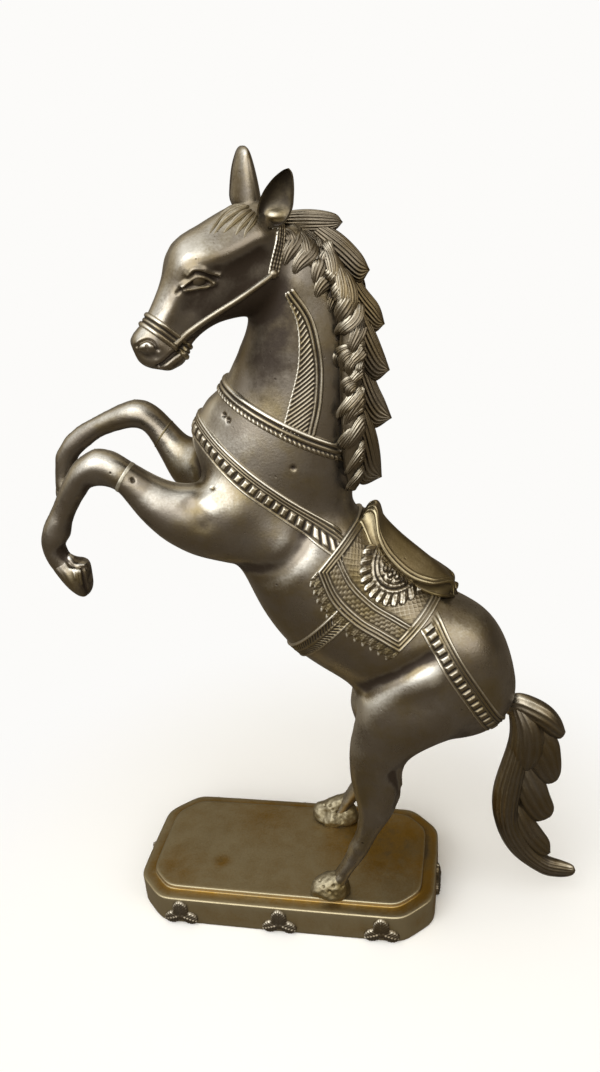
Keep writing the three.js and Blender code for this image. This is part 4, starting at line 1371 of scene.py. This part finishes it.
# %% Crest
CREST_FLAMES = [
    ([(274, 212), (308, 209), (334, 213), (343, 222)], [(274, 232), (308, 234), (333, 231), (343, 222)]),
    ([(312, 216), (341, 233), (361, 253), (370, 270)], [(312, 240), (338, 268), (358, 284), (370, 270)]),
    ([(338, 244), (364, 285), (379, 305), (385, 324)], [(330, 268), (352, 310), (372, 332), (385, 324)]),
    ([(352, 280), (374, 328), (383, 350), (390, 370)], [(342, 310), (356, 360), (373, 381), (390, 370)]),
    ([(358, 330), (376, 380), (385, 400), (392, 418)], [(346, 360), (356, 405), (372, 428), (392, 418)]),
    ([(358, 380), (374, 424), (380, 450), (382, 477)], [(346, 410), (350, 455), (360, 484), (382, 477)]),
]
FLAME_FACING = (0.1, -1.0, 0.1)
CREST_THICK, CREST_SWAY, CREST_CUT = 8.0, 0.5, 0.25
shells = []
for step, (outer, inner) in enumerate(CREST_FLAMES):
    y = CREST_SWAY * (-1) ** step
    edges = pixels_at(outer, y), pixels_at(inner, y)
    shells.append(flame(*edges, CREST_THICK, FLAME_FACING, 22, 44, CREST_CUT))
finish(gathered("mane_crest", shells), "dark_brass", "mane_crest", depth=0.8)

# %% Locks on the neck
SIDE_LOCKS = [
    ([(284, 228), (290, 236), (297, 250)], 4.5),
    ([(296, 226), (304, 240), (309, 258), (316, 275)], 5.0),
    ([(298, 222), (313, 236), (322, 249), (327, 262)], 5.0),
    ([(306, 222), (320, 234), (330, 250), (337, 266)], 5.0),
    ([(324, 244), (331, 260), (334, 277), (331, 295)], 5.0),
    ([(334, 256), (341, 276), (344, 296), (338, 322)], 5.5),
    ([(340, 262), (349, 284), (352, 306), (346, 326)], 5.5),
    ([(348, 276), (357, 298), (360, 318), (354, 342)], 5.5),
    ([(352, 300), (360, 322), (357, 338), (340, 350)], 4.5),
    ([(362, 320), (366, 345), (364, 366), (357, 384)], 5.0),
    ([(354, 347), (344, 349), (337, 358), (340, 371)], 4.5),
    ([(357, 352), (348, 354), (343, 363), (346, 375)], 4.5),
    ([(359, 357), (353, 360), (349, 368), (352, 379)], 4.0),
    ([(366, 357), (360, 362), (358, 370), (362, 378)], 3.5),
    ([(357, 379), (349, 381), (344, 387), (345, 396)], 4.0),
    ([(360, 384), (353, 386), (349, 392), (351, 400)], 4.0),
    ([(374, 364), (364, 388), (352, 410), (341, 432)], 7.0),
    ([(362, 388), (350, 402), (341, 416), (337, 434)], 5.5),
    ([(376, 386), (365, 414), (353, 438), (339, 458)], 7.0),
    ([(377, 410), (367, 438), (357, 460), (343, 480)], 7.0),
    ([(376, 436), (366, 460), (356, 480), (344, 498)], 7.0),
    ([(356, 424), (345, 440), (338, 454), (337, 470)], 5.0),
]
LOCK_ROOTS = [(302, 226), (328, 244), (347, 272), (360, 306), (368, 344), (373, 384), (376, 420), (377, 448)]
UNDER_WIDTH = 7.0
LOCK_THICK, LOCK_LIFT, LOCK_SUNK = 2.8, 0.5, 2.0
LOCK_SWAY = 2.4
MASS_SWELL, MASS_VOXEL, MASS_ROUNDS = -0.4, 0.7, 40
MASS_TAPER, MASS_SINK, MASS_SETTLE = 22.0, 6.0, 1.8
side_mass = melted("side_mass", swollen_copies(["near_mane_locks"], MASS_SWELL), MASS_VOXEL)
soften(side_mass.data, MASS_ROUNDS, keep_volume=False)
places = to_bench(places_of(side_mass.data))
risen = np.clip((places[:, 2] - places[:, 2].max()) / MASS_TAPER + 1, 0, 1)
places[:, 1] += MASS_SETTLE + MASS_SINK * risen ** 1.3
move_to(side_mass.data, places)
mane_surface = Surface(skin.data, side_mass.data)
side_shell = bmesh.new()
side_shell.from_mesh(side_mass.data)
bpy.data.objects.remove(side_mass)
shells = [side_shell]
roots = spline(LOCK_ROOTS, 16)
under_locks = []
for step, root in enumerate(roots):
    sway = math.sin(LOCK_SWAY * step)
    under_locks.append((root + [(0, 0), (-6, 16), (-15 - 4 * sway, 30), (-20 - 6 * sway, 46)], UNDER_WIDTH))
for pixels, width in under_locks + SIDE_LOCKS:
    line, facing = lying(mane_surface, pixels, LOCK_LIFT, LOCK_SUNK)
    shells.append(lock(line, width, LOCK_THICK, facing, fullest=0.45))
near_mane = gathered("near_mane_locks", shells)
far_shell = bmesh.new()
far_shell.from_mesh(near_mane.data)
for vert in far_shell.verts:
    vert.co = to_frame(across_body(to_bench(vert.co)))
bmesh.ops.recalc_face_normals(far_shell, faces=far_shell.faces)
finish(near_mane, "dark_brass", "near_mane_locks", depth=0.6)
finish(as_object("far_mane_locks", far_shell), "dark_brass", "far_mane_locks", depth=0.6)

# %% [markdown]
# ## Ears and forelock
# An ear is a leaf rolled into a cup that is open towards the side and the front. The near one shows its
# hollow to the camera, the far one its back. Half a sphere could be stretched into an ear, but its tip
# would be too round, so both edges are drawn from the photograph. The forelock falls between the ears on
# to the brow.

# %% Ears
EARS = {
    "near_ear": dict(
        left=[(273, 229), (263, 224), (257.5, 213), (261.5, 196), (271, 181), (282, 171), (289, 168)],
        right=[(273, 229), (284, 222), (291, 209), (292.5, 196), (292.5, 183), (291.5, 173), (289, 168)],
        y=-17.0, facing=(-0.2, -0.96, 0.15), depth=6.5),
    "far_ear": dict(
        left=[(236, 212), (230, 200), (229.5, 187), (231.5, 167), (235.5, 152), (239, 146.5), (242.5, 145.5)],
        right=[(256, 212), (260, 200), (258.5, 187), (254, 167), (249.5, 152), (246, 146.5), (242.5, 145.5)],
        y=1.5, facing=(-0.4, 0.9, 0.1), depth=9.0),
}
EAR_BRASS = {"near_ear": "hair_brass", "far_ear": "casting_brass"}
EAR_WALL = 1.1
EAR_LUMP = 0.7
EAR_SHADE = 0.5


def ear(left, right, y, facing, depth):
    """A cup between two edges: hollow in front, with a lump low in the hollow, and round behind."""
    edges = [spline(pixels_at(edge, y), 70) for edge in (left, right)]
    steps = np.linspace(0, 1, 70)[:, None]
    angles = np.linspace(0, 2 * math.pi, 97)[None]
    share = ((1 - np.cos(angles)) / 2)[..., None]
    width = np.linalg.norm(edges[1] - edges[0], axis=1)[:, None]
    back = depth * (1 - (1 - width / width.max()) ** 2)
    lump = EAR_LUMP * np.exp(-((steps - 0.27) / 0.13) ** 2) * np.clip(np.sin(angles), 0, 1) ** 2
    hollow = np.clip(back - EAR_WALL, 0, None) * (1 - lump)
    bulge = np.abs(np.sin(angles))
    rise = np.where(np.sin(angles) > 0, -hollow * bulge ** 0.8, -back * bulge ** 0.9)
    rim = 0.5 * np.exp(-(bulge / 0.3) ** 2)
    flat = edges[0][:, None] * (1 - share) + edges[1][:, None] * share
    return rolled(flat + unit(facing) * (rise + rim)[..., None])


for name in EARS:
    piece = finish(as_object(name, ear(**EARS[name])), EAR_BRASS[name], name)
    # Painted shade inside the hollow of each ear.
    darken(piece.data, unit(EARS[name]["facing"]), EAR_SHADE)

# %% Forelock
FORELOCK = [
    ([(250, 206), (234, 208), (219, 219), (205, 241)], 3.4),
    ([(252, 206), (238, 211), (223, 222), (210, 240)], 3.4),
    ([(250, 205), (234, 207), (220, 217), (211, 231)], 3.2),
    ([(254, 208), (242, 215), (230, 226), (219, 238)], 3.2),
    ([(256, 210), (248, 219), (240, 228), (233, 240)], 3.0),
    ([(252, 206), (240, 209), (228, 217), (217, 231)], 3.0),
    ([(252, 205), (238, 208), (226, 215), (214, 229)], 2.6),
    ([(258, 212), (253, 222), (246, 232), (243, 243)], 2.6),
]
FORELOCK_THICK, FORELOCK_LIFT, FORELOCK_SUNK = 2.0, -0.1, 0.7
shells = []
for pixels, width in FORELOCK:
    line, facing = lying(skin_surface, pixels, FORELOCK_LIFT, FORELOCK_SUNK)
    shells.append(lock(line, width, FORELOCK_THICK, facing, strands=8, fullest=0.3))
finish(gathered("forelock", shells), "hair_brass", "forelock", depth=0.6)

# %% [markdown]
# ## Tail
# The tail springs up from the dock, falls in an S and runs out just above the level of the base. It could
# be one carved mass, but then it would have no gaps between its locks. So one thick flame carries it, and
# shorter flames peel off its rear edge, each in its own curve.

# %% Tail
TAIL_FLAMES = [
    ([(506, 697), (509, 736), (493, 789), (495, 822), (510, 850), (538, 870.5), (556, 875.5), (570, 875),
      (575.5, 870.5)],
     [(516, 700), (530, 735), (524, 780), (518, 812), (529, 838), (545, 855), (563, 861.5), (573, 865.5),
      (575.5, 870.5)], 19.0, 18),
    ([(508, 700), (510, 726), (508, 750), (514, 765), (526, 769)],
     [(520, 697), (541, 720), (546.5, 742), (540, 759), (526, 769)], 21.0, 14),
    ([(504, 696), (520, 693.5), (538, 699.5), (552, 708), (561, 719), (565.5, 731)],
     [(506, 714), (518, 717), (534, 724), (548, 734), (559, 737.5), (565.5, 731)], 17.0, 12),
    ([(524, 704), (546, 722), (558, 740), (561, 755), (561, 770), (557, 779)],
     [(512, 730), (522, 758), (534, 776), (546, 783), (557, 779)], 14.0, 14),
    ([(526, 748), (543, 776), (550, 795), (554, 807), (551, 815)],
     [(508, 775), (516, 802), (528, 817), (537, 820.5), (551, 815)], 13.0, 14),
    ([(520, 790), (534, 818), (543, 831), (549.5, 841), (550.5, 852)],
     [(502, 806), (510, 830), (522, 848), (537, 857), (550.5, 852)], 12.0, 14),
]
TAIL_ROWS, TAIL_CUT = 90, 0.3
shells = [flame(pixels_at(outer, 0.0), pixels_at(inner, 0.0), thick, FLAME_FACING, lines, TAIL_ROWS, TAIL_CUT)
          for outer, inner, thick, lines in TAIL_FLAMES]
finish(gathered("tail", shells), "dark_brass", "tail", depth=0.4)

# %% [markdown]
# ## Base
# The base is a two-tier casting with cut corners, filed by hand, so its long sides bow a little and its
# corners are soft. A bevelled box would have edges that are too straight and too even, so a grid is
# rolled round the outline instead: from the middle of the top, over the step and the foot, and up into
# the hollow underneath.

# %% Base casting
BASE_LENGTH, BASE_WIDTH = (size / MM for size in (plinth_high - plinth_low).xy)
CORNER_CUT, CORNER_ROUNDS = 15.0, 14
BASE_BOW = 0.5
BASE_SIDE_LIGHT = 0.9
BASE_STAINS_AND_SHADOW = [(58, 8, 26, 0.5), (36, 14, 20, 0.35), (-38, -14, 4, 0.6), (-62, -22, 12, 0.25),
               (-20, 24, 16, 0.25)]
TIER_TOP, HOLLOW_TOP = 19.7, 15.7
BASE_PROFILE = [
    (8.6, 19.7), (7.6, 19.68), (7.2, 19.55), (7.0, 19.3), (6.95, 18.8), (6.95, 18.2), (6.95, 17.8),
    (6.8, 17.4), (6.3, 17.22), (4.5, 17.2), (2.5, 17.2), (0.9, 17.18), (0.35, 17.05), (0.08, 16.7),
    (0.0, 16.2), (0.0, 13.5), (0.0, 10.0), (0.0, 6.5), (0.0, 3.0), (0.05, 1.2), (0.4, 0.35), (1.2, 0.0),
    (6.0, 0.0), (10.4, 0.0), (11.0, 0.5), (11.2, 5.0), (11.3, 10.0), (11.5, 15.0),
]


def base_outline(inset, count=320):
    """The outline with cut corners at an inset: sampled evenly, with soft corners and bowed sides."""
    half = np.array([BASE_LENGTH / 2, BASE_WIDTH / 2]) - inset
    cut = CORNER_CUT - 0.55 * inset
    corners = [half * (1, -1) + (0, cut), half - (0, cut), half - (cut, 0), half * (-1, 1) + (cut, 0)]
    corners += [-corner for corner in corners]
    loop = np.array(corners + corners[:1])
    gone = np.append(0, np.cumsum(np.linalg.norm(np.diff(loop, axis=0), axis=1)))
    wanted = np.linspace(0, gone[-1], count, endpoint=False)
    line = np.stack([np.interp(wanted, gone, loop[:, axis]) for axis in range(2)], axis=1)
    for _ in range(CORNER_ROUNDS):
        line = (np.roll(line, 1, axis=0) + np.roll(line, -1, axis=0) + 2 * line) / 4
    swing = np.cos(np.clip(line / half, -1, 1) * math.pi / 2)
    line = line + swing[:, ::-1] * line / half * BASE_BOW
    return np.vstack([line, line[:1]])


rows = []
top_outline = base_outline(BASE_PROFILE[0][0])
for share in np.linspace(0, 1, 40)[:-1]:
    rows.append([(x * share, y * share, TIER_TOP + TABLE) for x, y in top_outline])
for inset, z in BASE_PROFILE:
    rows.append([(x, y, z + TABLE) for x, y in base_outline(inset)])
roof_outline = base_outline(BASE_PROFILE[-1][0] + 0.8)
for share in np.linspace(1, 0, 8):
    rows.append([(x * share, y * share, HOLLOW_TOP + TABLE) for x, y in roof_outline])
base = as_object("base_plinth", rolled(np.array(rows)))
finish(base, "base_brass", "base_plinth", depth=1.2)
# Painted light: the sides of the base are painted paler than its top, where they would reflect the lit floor
# in front.
for outward in ((0, -1, 0), (0, 1, 0), (-1, 0, 0), (1, 0, 0)):
    darken(base.data, outward, -BASE_SIDE_LIGHT)
# Darker patches on the top of the base: the two on the right, behind the hind legs, are painted shadow; the
# others are stains.
for x, y, radius, amount in BASE_STAINS_AND_SHADOW:
    stain_and_shade(base.data, np.array([(x, y, 0.0)]), radius, amount)

# %% [markdown]
# ## Leaf plaques
# A cast leaf of three lobes is fixed to each end of the base, and three to each long side. They could be
# carved from a block, but a sheet in relief needs only a formula for its height, and lies on the bowed
# side by itself.

# %% Leaf plaques
PLAQUE_HALF, PLAQUE_HEIGHT, PLAQUE_FOOT, PLAQUE_WALL = 9.6, 15.4, 0.6, 1.0
RAY_START = 120.0
BOSS_UP, BOSS_RADIUS = 5.0, 2.1
SUNK = -0.7
LEAVES = [((0.0, 4.8), 90, 9.8, 4.4), ((-0.6, 5.6), 200, 8.6, 3.7), ((0.6, 5.6), -20, 8.6, 3.7)]
base_surface = Surface(base.data)


def leaf_heights(across, up):
    """Three lobes round a boss: each lobe is a veined oval."""
    height = np.full(across.shape, SUNK)
    for (x, z), angle, length, half in LEAVES:
        cos, sin = math.cos(math.radians(angle)), math.sin(math.radians(angle))
        ahead = (across - x) * cos + (up - z) * sin
        aside = (up - z) * cos - (across - x) * sin
        inside = 1 - ((ahead - length / 2) / (length / 2 + 0.6)) ** 2 - (aside / half) ** 2
        veins = 0.35 * np.abs(repeat(ahead - np.abs(aside) * 0.8, 1.7)) / 0.85
        lobe = 1.0 + 0.9 * np.sqrt(np.clip(inside, 0, 1)) - veins + 0.5 * bead(aside, 0.5)
        height = np.maximum(height, np.where(inside > 0, lobe, SUNK))
    from_boss = np.hypot(across, up - BOSS_UP)
    boss = 1.2 + 1.1 * bead(from_boss, BOSS_RADIUS)
    return np.maximum(height, np.where(from_boss < BOSS_RADIUS, boss, SUNK))


def plaque(node):
    """A leaf on the side of the base that its solid lies on."""
    low, high = (to_bench(corner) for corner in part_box(node))
    middle = (low + high) / 2
    on_end = high[0] - low[0] < high[1] - low[1]
    aside = np.array([0, 1.0, 0]) if on_end else np.array([1.0, 0, 0])
    outward = np.sign(middle) * (1 - aside) * (1, 1, 0)
    foot = middle * aside + (0, 0, TABLE + PLAQUE_FOOT)
    across = np.linspace(-PLAQUE_HALF, PLAQUE_HALF, 64)
    up = np.linspace(0, PLAQUE_HEIGHT, 52)
    starts = [[foot + aside * a + (0, 0, b) + outward * RAY_START for a in across] for b in up]
    places = np.array([[base_surface.hit(start, -outward) for start in row] for row in starts])
    leaf = sheet(places, leaf_heights(*np.meshgrid(across, up)), (0, 0, TABLE + 8), wall=PLAQUE_WALL)
    finish(as_object(node, leaf), "dark_brass", node, depth=0.6)


for node in sorted(name for name in nodes if "plaque" in name):
    plaque(node)

# %% [markdown]
# ## Brazing
# Pale metal holds the hooves to the base in lumpy, pitted heaps, and a thin pale ring marks where each
# forearm was joined. A heap could be sculpted by hand, but melting comes closer to how it was made: a
# narrowed copy of its solid and a few balls run together, are softened and pushed about by noise, and are
# pricked with pits. A ring is a narrow sheet round the forearm.

# %% Lumps at the hooves
def pushed(mesh, size, height, seed):
    """Moves a mesh in and out by noise of a given size."""
    places, normals = to_bench(places_of(mesh)), normals_of(mesh)
    moved = [noise.noise(Vector(place / size) + Vector((seed, 0, 0))) * height for place in places]
    move_to(mesh, places + normals * np.array(moved)[:, None])


NEAR_HEAP = [(31.0, -28.5, 7.5, 5.6), (26.5, -29.0, 4.5, 6.6), (21.5, -30.5, 2.5, 6.0),
             (30.5, -30.0, 2.5, 6.8), (25.0, -25.0, 2.0, 6.2)]
FAR_HEAP = [(30.5, 28.5, 15.0, 4.6), (26.0, 28.5, 10.5, 5.6), (20.0, 28.5, 6.5, 6.4), (13.5, 28.5, 3.0, 6.2),
            (29.0, 27.0, 3.5, 6.8), (21.0, 23.0, 1.5, 5.4)]
PUDDLE_SHARES = {"near_hoof_braze": (0.7, 0.76, 1.0), "far_hoof_braze": (0.96, 0.84, 1.0)}
HEAP_SUNK = -1.5
HEAP_VOXEL, HEAP_ROUNDS = 0.5, 90
HEAP_BUMPS = [(6.0, 0.8, 0.0), (2.0, 0.3, 3.0)]
HEAP_PITS, HEAP_TURN, HEAP_PIT_RADIUS, HEAP_PIT_DEPTH = 14, 2.4, 0.7, 0.9
for seed, (node, balls) in enumerate((("near_hoof_braze", NEAR_HEAP), ("far_hoof_braze", FAR_HEAP))):
    heap = swollen_copies([node], 0.3)
    low, high = (to_bench(corner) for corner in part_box(node))
    centre = (low + high) / 2 * (1, 1, 0)
    for vert in heap.verts:
        vert.co = to_frame((to_bench(vert.co) - centre) * PUDDLE_SHARES[node] + centre)
    for *place, radius in balls:
        bmesh.ops.create_uvsphere(heap, u_segments=24, v_segments=16, radius=radius * MM,
                                  matrix=Matrix.Translation(to_frame(place)))
    lump = melted(node, heap, HEAP_VOXEL)
    soften(lump.data, HEAP_ROUNDS, keep_volume=False)
    for size, height, shift in HEAP_BUMPS:
        pushed(lump.data, size, height, seed * 7.0 + shift)
    lump_surface = Surface(lump.data)
    middle = np.mean(balls, axis=0)[:3]
    for pit in range(HEAP_PITS):
        turn = pit * HEAP_TURN
        outward = unit([math.cos(turn), math.sin(turn), 0.15 + 0.06 * pit])
        mark = lump_surface.hit(middle + outward * 40, -outward)[None]
        stroke(lump.data, [mark], HEAP_PIT_RADIUS, -HEAP_PIT_DEPTH)
    places = to_bench(places_of(lump.data))
    places[:, 2] = np.maximum(places[:, 2], HEAP_SUNK)
    move_to(lump.data, places)
    finish(lump, "brazing", node, depth=2.0)

# %% Rings at the forearms
ARM_FACINGS = {"near_foreleg_braze": (-0.83, 0.555), "far_foreleg_braze": (-0.78, 0.626)}
RING_LOOKS = {"near_foreleg_braze": (1.7, "solder"), "far_foreleg_braze": (1.0, "brazing")}
ARM_RADIUS = 8.0
RING_HEIGHT, RING_WAVES = 0.25, 11
for node, (face_x, face_z) in ARM_FACINGS.items():
    width, brass = RING_LOOKS[node]
    low, high = (to_bench(corner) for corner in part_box(node))
    middle = (low + high) / 2
    turns = np.linspace(0, 2 * math.pi, 160)
    rays = fan(np.array([-face_z, 0, face_x]), turns)
    starts = [middle + np.array([face_x, 0, face_z]) * shift for shift in np.linspace(-0.5, 0.5, 8) * width]
    places = np.array([
        [skin_surface.tree.find_nearest(Vector(start + ray * ARM_RADIUS))[0] for ray in rays]
        for start in starts
    ])
    uneven = 0.75 + 0.25 * np.sin(turns * RING_WAVES)[None]
    heights = RING_HEIGHT * bead(np.linspace(-1, 1, 8)[:, None], 1.05) * uneven - 0.02
    finish(as_object(node, sheet(places, heights, middle, closed=True)), brass, node)

# %% [markdown]
# ## Studio
# The statue stands on a pale sheet of paper that bends up behind it. A large soft lamp hangs above in
# front, and a weaker one on the right. A plain white sky would be simpler, but metal looks like what it
# reflects, and would turn out flat. So the sky is bright above and in front, golden behind and brown
# below, and the paper is darker to the metal than to the camera, which sees it nearly white.

# %% Paper
FLOOR_COLOR = "#efeeea"
FLOOR_IN_METAL = "#706759"
BACKDROP_COLOR = "#fcfbf9"
PAPER_HALF_WIDTH, PAPER_FRONT, PAPER_DEPTH = 4.0, -1.6, 3.2
PAPER_BEND, PAPER_HEIGHT, FLAT_SHARE = 0.96, 3.0, 0.6
SHADOW_REACH = (0.09, 0.28)


def paper_material():
    """Paper that is plain near the statue, where it takes the shadow, and an even white further off."""
    material = bpy.data.materials.new("studio_paper")
    material.use_nodes = True
    tree = material.node_tree
    shader = tree.nodes["Principled BSDF"]
    shader.inputs["Roughness"].default_value = 0.9
    start = Socket(tree)
    place = start.make("ShaderNodeTexCoord", output="Object")
    away = start.make("ShaderNodeVectorMath", {"operation": "LENGTH"}, {0: place}, output="Value")
    camera_ray = start.make("ShaderNodeLightPath", output="Is Camera Ray")
    color = camera_ray.mix(linear(FLOOR_IN_METAL), linear(FLOOR_COLOR))
    tree.links.new(color.output, shader.inputs["Base Color"])
    glow = start.make("ShaderNodeEmission", None, {"Color": linear(BACKDROP_COLOR), "Strength": 1.0})
    lit = away.between(*SHADOW_REACH) * camera_ray
    mixed = start.make("ShaderNodeMixShader", None, {0: lit, 1: Socket(tree, shader.outputs[0]), 2: glow})
    tree.links.new(mixed.output, tree.nodes["Material Output"].inputs["Surface"])
    return material


bm = bmesh.new()
bmesh.ops.create_grid(bm, x_segments=1, y_segments=24, size=1.0)
for vert in bm.verts:
    along = (vert.co.y + 1) / 2
    bend = max(0.0, along - FLAT_SHARE) / (1 - FLAT_SHARE) * math.pi / 2
    back = PAPER_FRONT + PAPER_DEPTH * min(along / FLAT_SHARE, 1.0) + PAPER_BEND * math.sin(bend)
    vert.co = (vert.co.x * PAPER_HALF_WIDTH, back, PAPER_HEIGHT * (1 - math.cos(bend)))
bmesh.ops.recalc_face_normals(bm, faces=bm.faces)
paper = as_object("studio_paper", bm)
paper.data.shade_smooth()
paper.data.materials.append(paper_material())
print("paper:", len(paper.data.polygons), "faces")

# %% Lamps
LAMP_TARGET = (0, 0, 0.2)
LAMPS = {"key_lamp": ((-0.35, -1.1, 1.1), 1.7, 15.0), "fill_lamp": ((1.2, -0.6, 0.95), 1.1, 5.0)}
for name, (place, size, power) in LAMPS.items():
    data = bpy.data.lights.new(name, "AREA")
    data.shape = "DISK"
    data.size = size
    data.energy = power
    lamp = bpy.data.objects.new(name, data)
    lamp.location = place
    lamp.rotation_euler = (Vector(LAMP_TARGET) - Vector(place)).to_track_quat("-Z", "Y").to_euler()
    bpy.context.scene.collection.objects.link(lamp)
    print(f"{name}: {power} W, {size} m wide")

# %% Sky
SKY_WINDOW = tuple(unit([-0.25, -0.66, 0.70]))
SKY_BELOW, SKY_BEHIND, SKY_BRIGHT = "#4b4339", "#a0937a", "#ffffff"
SKY_STRENGTH = 1.35
world = bpy.data.worlds.new("studio")
world.use_nodes = True
background = world.node_tree.nodes["Background"]
sky = Socket(world.node_tree)
toward = sky.make("ShaderNodeTexCoord", output="Generated")
facing = sky.make("ShaderNodeVectorMath", {"operation": "DOT_PRODUCT"}, {0: toward, 1: SKY_WINDOW}, "Value")
shade = facing.between(-0.5, 0.3).mix(linear(SKY_BELOW), linear(SKY_BEHIND))
shade = facing.between(0.35, 0.8).mix(shade, linear(SKY_BRIGHT))
to_camera = sky.make("ShaderNodeLightPath", output="Is Camera Ray")
seen = [channel / SKY_STRENGTH for channel in linear(BACKDROP_COLOR)]
shade = to_camera.mix(shade, seen)
world.node_tree.links.new(shade.output, background.inputs["Color"])
background.inputs["Strength"].default_value = SKY_STRENGTH
bpy.context.scene.world = world
bpy.context.scene.view_settings.view_transform = "Standard"
print("sky strength:", SKY_STRENGTH)
